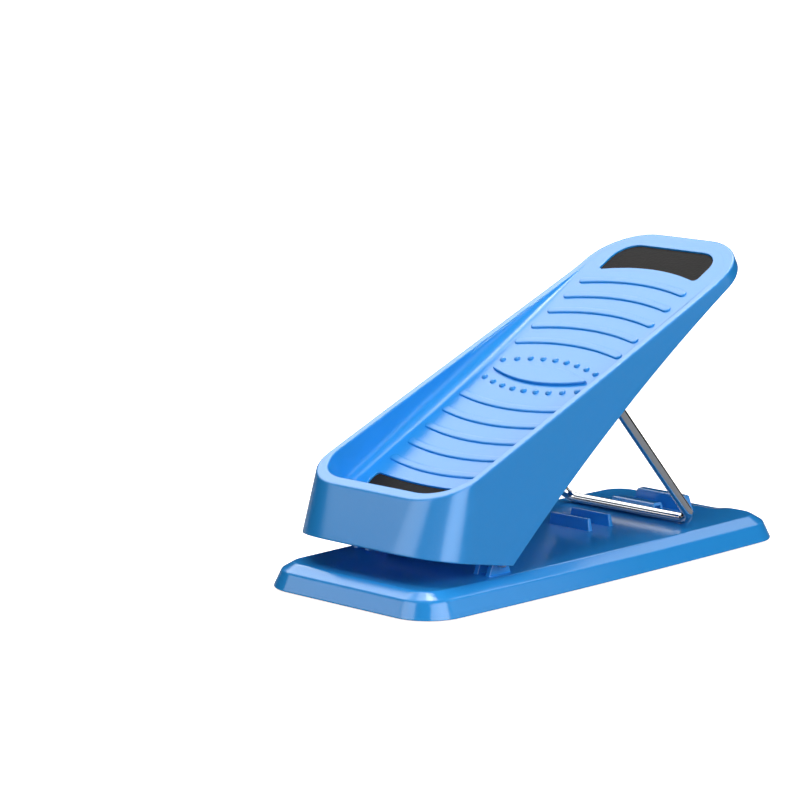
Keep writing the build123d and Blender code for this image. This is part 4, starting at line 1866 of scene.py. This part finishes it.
@dataclass(frozen=True)
class ArchCatch(Catch):
    """A catch that is a hollow arch."""

    wall: float = 1.8
    facets: int = 6

    def profile(self, y: float, low: float, high: float) -> list[Pair]:
        """Draws the outline, with its legs, its hollow and its rounded shoulders.

        Args:
            y: its middle.
            low: its root's level.
            high: its top's level.

        Returns:
            The outline.
        """
        outer, inner, wall = self.half_foot, self.half_foot - self.wall, self.wall
        outline = [(y - outer, low), (y - inner, low), (y - inner, high - wall), (y + inner, high - wall)]
        outline += [(y + inner, low), (y + outer, low)]
        for side, turns in ((1, range(self.facets + 1)), (-1, range(self.facets, -1, -1))):
            for step in turns:
                angle = math.pi / 2 * step / self.facets
                across = y + side * outer - side * wall * (1 - math.cos(angle))
                outline.append((across, high - wall * (1 - math.sin(angle))))
        return outline


CATCHES = (
    Catch("wall_catch_1", 115.35, 7.0, 15.3, 1.3, 1.7, 1.2, 0.5),
    Catch("wall_catch_2", 97.75, 7.0, 15.3, 1.3, 1.7, 1.2, 0.5),
    ArchCatch("arch_catch", 57.4, 7.5, 17.0, 1.5, 4.0, 4.0, 0.3, 2),
    Catch("block_catch", 34.0, 8.5, 20.0, 2.5, 4.1, 3.0, 1.0, 4),
)


@dataclass
class BasePlate:
    """The base that stands on the ground: shell, catches, hinge lugs and webs."""

    plastic: bpy.types.Material
    half_length: float = 150.0
    half_end_width: float = 65.0
    bow: float = 2.8
    corner_radius: float = 24.0
    bottom: float = 1.0
    skirt_top: float = 10.5
    skirt_inset: float = 4.4
    deck: float = 14.5
    deck_inset: float = 11.1
    wall: float = 2.8
    deck_thickness: float = 2.8
    counts: tuple[int, ...] = (14, 22, 24, 24, 22, 14)
    deck_steps: tuple[float, ...] = (1.8, 3.4, 5.0, 6.6, 8.2, 9.8, 11.4, 12.6)
    dip_half_width: float = 35.0
    dip_reach: float = 22.0
    dip_blends: Pair = (16.0, 9.0)
    dip_depth: float = 1.5
    root_overlap: float = 1.0
    catches: tuple[Catch, ...] = CATCHES
    hinge: Pair = HINGE_AXIS
    lug_inners: Pair = (39.6, 48.4)
    lug_thickness: float = 3.0
    lug_radius: float = 5.0
    lug_root_half: float = 9.0

    def outline(self, inset: float) -> Ring:
        """Walks round the plan outline.

        Args:
            inset: how far it moves in.

        Returns:
            Its stations' points.
        """
        width = self.half_end_width - inset
        length = self.half_length - inset
        radius = self.corner_radius - inset
        plan = PlanOutline(-length, length, (width, width + self.bow, width), radius, radius, 0.0)
        return [point for point, _ in plan.stations(self.counts)]

    def on_deck(self, point: Vector) -> Vector:
        """Lifts a point to the deck, with the shallow finger dip at its toe edge.

        Args:
            point: (x, y).

        Returns:
            The point on the deck.
        """
        x, y = point
        across = smooth_step((self.dip_half_width - abs(x)) / self.dip_blends[0])
        along = smooth_step((y - (self.half_length - self.dip_reach)) / self.dip_blends[1])
        return lifted(point, self.deck - self.dip_depth * across * along)

    def build_shell(self) -> bpy.types.Object:
        """Builds the base's shell, from its hollow underside over the skirt to the deck.

        Returns:
            The object.
        """
        ceiling = self.deck - self.deck_thickness
        inner_top = self.deck_inset - self.deck_thickness / 2
        turns = (
            (inner_top + 1.2, ceiling, 0.0, 0, False),
            (inner_top, ceiling, 1.0, 3, False),
            (self.wall, self.bottom, 0.4, 3, True),
            (0.0, self.bottom, 0.6, 4, True),
            (self.skirt_inset, self.skirt_top, 1.0, 6, True),
        )
        outlines = [self.outline(inset) for inset, *_ in turns]
        deck_edge = self.outline(self.deck_inset)
        deck_lines = [self.outline(self.deck_inset + step) for step in self.deck_steps]
        columns: list[Ring] = []
        values: list[list[float]] = []
        for index, edge in enumerate(deck_edge):
            corners = []
            for outline, (_, level, soft, steps, outer) in zip(outlines, turns):
                corners.append(Corner(lifted(outline[index], level), soft, soft, steps, outer))
            deck = [self.on_deck(line[index]) for line in deck_lines]
            corners += [Corner(self.on_deck(edge), 0.9, 0.9, 6, True), Corner(deck[0])]
            points, edges = rounded_profile(corners, 0.45)
            columns.append([*points, *deck[1:]])
            values.append([*edges, *[0.0] * len(deck[1:])])
        shell = ShellBuilder()
        rings = shell.add_columns(columns, values)
        shell.fill(rings[0])
        shell.fill(rings[-1])
        return shell.build("base_shell", in_place)

    def build_catches(self) -> list[bpy.types.Object]:
        """Builds the four catches that hold the bail's bar."""
        root = self.deck - self.root_overlap
        return [catch.build(self.half_length, self.deck, root) for catch in self.catches]

    def build_lugs(self) -> list[bpy.types.Object]:
        """Builds the four lugs that carry the hinge rod.

        Returns:
            The objects.
        """
        pieces = []
        root = self.deck - self.root_overlap
        profile = hanger_profile(self.hinge, self.lug_radius, self.lug_root_half, root)
        for hand, side in SIDES:
            for label, inner in zip(("inner", "outer"), self.lug_inners):
                ends = Span(side * inner, side * (inner + self.lug_thickness))
                pieces.append(soften(prism(f"lug_{label}_{hand}", profile, ends, in_place), 0.45))
        return pieces

    def build_underside(self) -> list[bpy.types.Object]:
        """Builds the webs and the foot bosses under the deck.

        Returns:
            The objects.
        """
        tree = web_rows_tree()
        level = self.deck - self.deck_thickness - 1.25
        rows = (
            WebRow("cross_webs", (116.0, 2.0, 4.5), (0.0, -102.0, level), (0.0, 68.0, 0.0), 4),
            WebRow("side_webs", (2.0, 280.0, 4.5), (-24.0, 0.0, level), (48.0, 0.0, 0.0), 2),
        )
        pieces = [soften(tree.run(row.name, self.plastic, row.values()), 0.35, 2) for row in rows]
        profile = [(0.0, 2.2), (8.15, 2.2), (8.15, 0.25), (8.4, 0.0), (9.9, 0.0), (10.15, 0.25)]
        profile += [(10.15, 11.2), (0.0, 11.2)]
        for label, x, y in foot_places():
            boss = turned(f"boss_{label}", profile, Vector((x, y, self.bottom)), UP)
            pieces.append(soften(boss, 0.2, 2))
        return pieces

    def build(self) -> None:
        """Builds and dresses every piece of the base plate."""
        pieces = [self.build_shell(), *self.build_catches(), *self.build_lugs(), *self.build_underside()]
        for piece in pieces:
            dress(piece, self.plastic, Body.BASE, Slot.BASE_PLASTIC, ["base_plate"])


@dataclass
class Footing:
    """The four rubber feet."""

    rubber: bpy.types.Material
    radius: float = 8.0
    thickness: float = 3.2
    tread_edge: float = 0.5

    def build(self) -> None:
        """Turns each foot with a rounded tread and a shallow dish."""
        soft = self.tread_edge
        radius, thickness = self.radius, self.thickness
        profile = [(0.0, 0.35), (radius - 3.4, 0.35), (radius - 2.6, 0.0), (radius - soft, 0.0)]
        profile += [(radius, soft), (radius, thickness - 0.3), (radius - 0.3, thickness), (0.0, thickness)]
        for label, x, y in foot_places():
            foot = soften(turned(f"tread_{label}", profile, Vector((x, y, 0.0)), UP), 0.25, 3, 20.0)
            dress(foot, self.rubber, Body.BASE, Slot.FOOT_RUBBER, [f"foot_{label}"])


@dataclass
class HingePin:
    """The steel rod of the hinge and its two pressed caps."""

    steel: bpy.types.Material
    axis: Pair = HINGE_AXIS
    radius: float = 2.5
    half_length: float = 53.8
    cap_radius: float = 4.5
    cap_thickness: float = 3.0
    cap_inner: float = 51.8

    def build(self) -> None:
        """Turns the rod and its caps."""
        along = Vector((1.0, 0.0, 0.0))
        origin = Vector((-self.half_length, *self.axis))
        length = 2 * self.half_length
        profile = [(0.0, 0.0), (self.radius - 0.5, 0.0), (self.radius, 0.5), (self.radius, length - 0.5)]
        profile += [(self.radius - 0.5, length), (0.0, length)]
        rod = soften(turned("pin_rod", profile, origin, along), 0.15, 2)
        dress(rod, self.steel, Body.BASE, Slot.STEEL, ["hinge_rod"])
        for hand, side in SIDES:
            start = Vector((side * self.cap_inner, *self.axis))
            outer, top = self.cap_radius, self.cap_thickness
            profile = [(0.0, 0.6), (self.radius, 0.6), (self.radius + 0.1, 0.0), (outer - 0.2, 0.0)]
            profile += [(outer, 0.3), (outer, top - 0.7), (outer - 0.7, top), (0.0, top)]
            cap = soften(turned(f"pin_cap_{hand}", profile, start, along * side), 0.15, 2)
            dress(cap, self.steel, Body.BASE, Slot.STEEL, [f"rod_cap_{hand}"])


@dataclass
class Bail:
    """The sprung wire that props the foot plate up."""

    chrome: bpy.types.Material
    pivot: Pair = (15.665, 98.434)
    bar: Pair = (85.2, 17.8)
    wire_radius: float = 3.0
    top_x: float = 44.8
    foot_x: float = 48.7
    stub_x: float = 53.0
    elbow_bend: float = 3.8
    foot_bend: float = 9.0

    def build(self) -> None:
        """Bends the wire along its stubs, legs and bar."""
        xs = (-self.stub_x, -self.top_x, -self.foot_x, self.foot_x, self.top_x, self.stub_x)
        ends = (self.pivot, self.pivot, self.bar, self.bar, self.pivot, self.pivot)
        points = [Vector((x, *end)) * MM for x, end in zip(xs, ends)]
        bends = (0.0, self.elbow_bend, self.foot_bend, self.foot_bend, self.elbow_bend, 0.0)
        edges = [(index, index + 1) for index in range(len(points) - 1)]
        wire = bent_wire_tree().run(
            "bail_wire",
            self.chrome,
            {"Wire Radius": self.wire_radius * MM},
            points,
            edges,
            {"bend": [reach * MM for reach in bends]},
        )
        dress(wire, self.chrome, Body.BAIL, Slot.CHROME_WIRE, ["bail"])


# ---------------------------------------------------------------- studio


class Reach(Enum):
    """What a soft light does: it shines, or it shows in gloss."""

    SHINE = "shine"
    MIRROR = "mirror"


@dataclass(frozen=True)
class Softbox:
    """A rectangular soft light that faces the board, placed by its bearing from the board.

    A bearing of 0 is in front of the heel, and 90 is on the board's right.
    """

    name: str
    reach: Reach
    bearing: float
    elevation: float
    size: Pair
    radiance: float
    distance: float = 3.0
    aim_height: float = 0.08

    def build(self) -> None:
        """Makes the light and turns it to the board."""
        bearing, elevation = math.radians(self.bearing), math.radians(self.elevation)
        flat, height = math.cos(elevation) * self.distance, math.sin(elevation) * self.distance
        place = Vector((math.sin(bearing) * flat, -math.cos(bearing) * flat, height))
        data = bpy.data.lights.new(self.name, "AREA")
        data.shape = "RECTANGLE"
        data.size, data.size_y = self.size
        data.energy = self.radiance * math.pi * self.size[0] * self.size[1]
        light = bpy.data.objects.new(self.name, data)
        light.location = place + UP * self.aim_height
        light.rotation_euler = (-place).to_track_quat("-Z", "Y").to_euler()
        light.visible_glossy = self.reach is Reach.MIRROR
        light.visible_diffuse = self.reach is Reach.SHINE
        bpy.context.scene.collection.objects.link(light)


SOFTBOXES = (
    Softbox("corner_low", Reach.SHINE, 32.0, 12.0, (2.4, 0.8), 3.1),
    Softbox("right_soft", Reach.SHINE, 95.0, 28.0, (2.0, 1.2), 5.0),
    Softbox("top_soft", Reach.SHINE, 10.0, 80.0, (2.2, 2.2), 3.7),
    Softbox("back_soft", Reach.SHINE, -125.0, 6.0, (2.0, 0.6), 4.0),
    Softbox("glint_box", Reach.MIRROR, -150.0, 64.0, (0.6, 1.6), 14.0),
    Softbox("sole_box", Reach.MIRROR, -108.0, 44.0, (2.4, 1.6), 2.3),
    Softbox("bevel_box", Reach.MIRROR, -125.0, 72.0, (1.1, 0.7), 3.5),
    Softbox("front_box", Reach.MIRROR, -15.0, 25.0, (1.95, 1.4), 4.0),
    Softbox("right_box", Reach.MIRROR, 77.0, 17.0, (1.75, 1.4), 5.6, 2.0),
    Softbox("left_box", Reach.MIRROR, -46.0, 19.0, (1.0, 0.5), 2.7),
    Softbox("back_box", Reach.MIRROR, -172.0, 42.0, (2.0, 1.0), 2.0, 2.5),
    Softbox("side_box", Reach.MIRROR, 127.0, 24.0, (0.7, 0.6), 1.0, 1.8),
    Softbox("low_box", Reach.MIRROR, 134.0, 4.0, (0.9, 0.2), 2.0, 1.8),
)


@dataclass
class Studio:
    """A pale floor, soft light and the camera."""

    floor_size: float = 14.0
    floor_colour: Triple = (0.93, 0.935, 0.94)
    floor_drift: float = 0.01
    floor_roughness: float = 0.7
    floor_gloss: float = 0.1
    floor_bounce: float = 0.12
    floor_mirror: float = 0.5
    floor_glow: float = 0.98
    camera_place: Triple = (1.28991, -1.42439, 0.44492)
    camera_yaw: float = math.radians(44.336)
    camera_pitch: float = math.radians(10.4)
    lens: float = 157.39
    air_colour: Triple = (0.98, 0.99, 1.0)
    fill_way: Triple = (0.68, -0.56, 0.47)
    fill_range: Pair = (-0.25, 0.7)
    fill_heights: Pair = (0.02, 0.4)
    front_fill: float = 0.12
    front_gloss: float = 0.06
    glow_way: Triple = (-0.50, 0.18, 0.847)
    glow_range: Pair = (0.77, 0.97)
    glow_level: float = 2.0
    backdrop: float = 1.05
    lights: tuple[Softbox, ...] = SOFTBOXES

    def build_camera(self) -> None:
        """Sets up the camera."""
        data = bpy.data.cameras.new("studio_camera")
        data.lens = self.lens
        data.sensor_width = 36.0
        data.clip_end = 100.0
        camera = bpy.data.objects.new("studio_camera", data)
        camera.location = self.camera_place
        camera.rotation_euler = (math.pi / 2 - self.camera_pitch, 0.0, self.camera_yaw)
        bpy.context.scene.collection.objects.link(camera)
        bpy.context.scene.camera = camera

    def build_floor(self) -> None:
        """Lays the pale floor, which throws less light back on the board than it shows the camera."""
        half = self.floor_size / 2
        mesh = bpy.data.meshes.new("floor")
        corners = [(-half, -half, 0), (half, -half, 0), (half, half, 0), (-half, half, 0)]
        mesh.from_pydata(corners, [], [(0, 1, 2, 3)])
        floor = bpy.data.objects.new("floor", mesh)
        bpy.context.scene.collection.objects.link(floor)
        material, sheet, shader, position = new_material("pale_floor")
        colour, drift = self.floor_colour, self.floor_drift
        toned = EffectShelf.drift(sheet, position, colour, drift, self.floor_roughness)
        path = sheet.add("ShaderNodeLightPath").outputs
        bounce = sheet.fade(path["Is Diffuse Ray"], self.floor_bounce)
        mirrored = sheet.fade(path["Is Glossy Ray"], self.floor_mirror)
        strength = sheet.math("MULTIPLY", bounce, mirrored)
        scaled = {"operation": "SCALE"}
        faded = sheet.add("ShaderNodeVectorMath", scaled, i0=toned.outputs["Colour"], Scale=strength)
        glow = sheet.math("MULTIPLY", path["Is Camera Ray"], self.floor_glow)
        sheet.feed(shader, Base_Color=faded.outputs["Vector"], Roughness=toned.outputs["Roughness"])
        sheet.feed(shader, Specular_IOR_Level=self.floor_gloss)
        sheet.feed(shader, Emission_Strength=glow, Emission_Color=(1.0, 1.0, 1.0, 1.0))
        floor.data.materials.append(material)

    def build_world(self) -> None:
        """Sets the surrounding light: a faint fill from the front, and a glow that only gloss shows."""
        world = bpy.data.worlds.new("studio_air")
        world.use_nodes = True
        sheet = NodeSheet(world.node_tree)
        sheet.tree.nodes.clear()
        way = sheet.add("ShaderNodeTexCoord").outputs["Generated"]
        front = sheet.ramp(sheet.facing(way, self.fill_way), *self.fill_range)
        raised = sheet.ramp(sheet.add("ShaderNodeSeparateXYZ", Vector=way).outputs["Z"], *self.fill_heights)
        soft = sheet.math("MULTIPLY", sheet.math("MULTIPLY", front, raised), self.front_fill)
        glow = sheet.add(
            "ShaderNodeMapRange",
            {"interpolation_type": "SMOOTHSTEP"},
            Value=sheet.facing(way, self.glow_way),
            From_Min=self.glow_range[0],
            From_Max=self.glow_range[1],
        )
        back_glow = sheet.math("MULTIPLY", glow.outputs[0], self.glow_level)
        mirrored = sheet.math("ADD", sheet.math("MULTIPLY", front, self.front_gloss), back_glow)
        path = sheet.add("ShaderNodeLightPath").outputs
        level = sheet.add("ShaderNodeMix", i0=path["Is Glossy Ray"], i2=soft, i3=mirrored).outputs[0]
        around = sheet.add("ShaderNodeBackground", Color=(*self.air_colour, 1.0), Strength=level)
        seen = sheet.add("ShaderNodeBackground", Color=(1.0, 1.0, 1.0, 1.0), Strength=self.backdrop)
        shares = {"i1": around.outputs[0], "i2": seen.outputs[0]}
        mixed = sheet.add("ShaderNodeMixShader", Fac=path["Is Camera Ray"], **shares)
        sheet.add("ShaderNodeOutputWorld", Surface=mixed.outputs[0])
        bpy.context.scene.world = world

    def build(self) -> None:
        """Builds the floor, the light and the camera."""
        self.build_camera()
        self.build_floor()
        self.build_world()
        for light in self.lights:
            light.build()
        bpy.context.scene.view_settings.view_transform = "Standard"
        log.info("studio: %d lights", len(self.lights))


def main() -> None:
    """Builds the board and its studio."""
    logging.basicConfig(level=logging.INFO, format="%(name)s: %(message)s")
    blue = (0.026, 0.33, 0.86)
    # The second colours tint the rounded edges: partly wear, partly a painted highlight.
    plate_plastic = MouldedPlastic("plate_plastic_blue", blue, (0.25, 0.52, 0.86)).make()
    base_plastic = MouldedPlastic("base_plastic_blue", blue, (0.22, 0.46, 0.78), roughness=0.15).make()
    pad_rubber = GripRubber("pad_charcoal", (0.012, 0.011, 0.0105), (0.045, 0.042, 0.04)).make()
    foot_rubber = GripRubber("foot_black", (0.016, 0.016, 0.017), (0.07, 0.07, 0.07), roughness=0.7).make()
    chrome = PlatedWire("bail_chrome", (0.5, 0.52, 0.55)).make()
    steel = PlatedWire("drawn_steel", (0.52, 0.53, 0.55), roughness=0.3, drawn=0.35).make()
    BasePlate(base_plastic).build()
    Footing(foot_rubber).build()
    HingePin(steel).build()
    FootPlate(plate_plastic, pad_rubber).build()
    Bail(chrome).build()
    Studio().build()


if __name__ == "__main__":
    main()
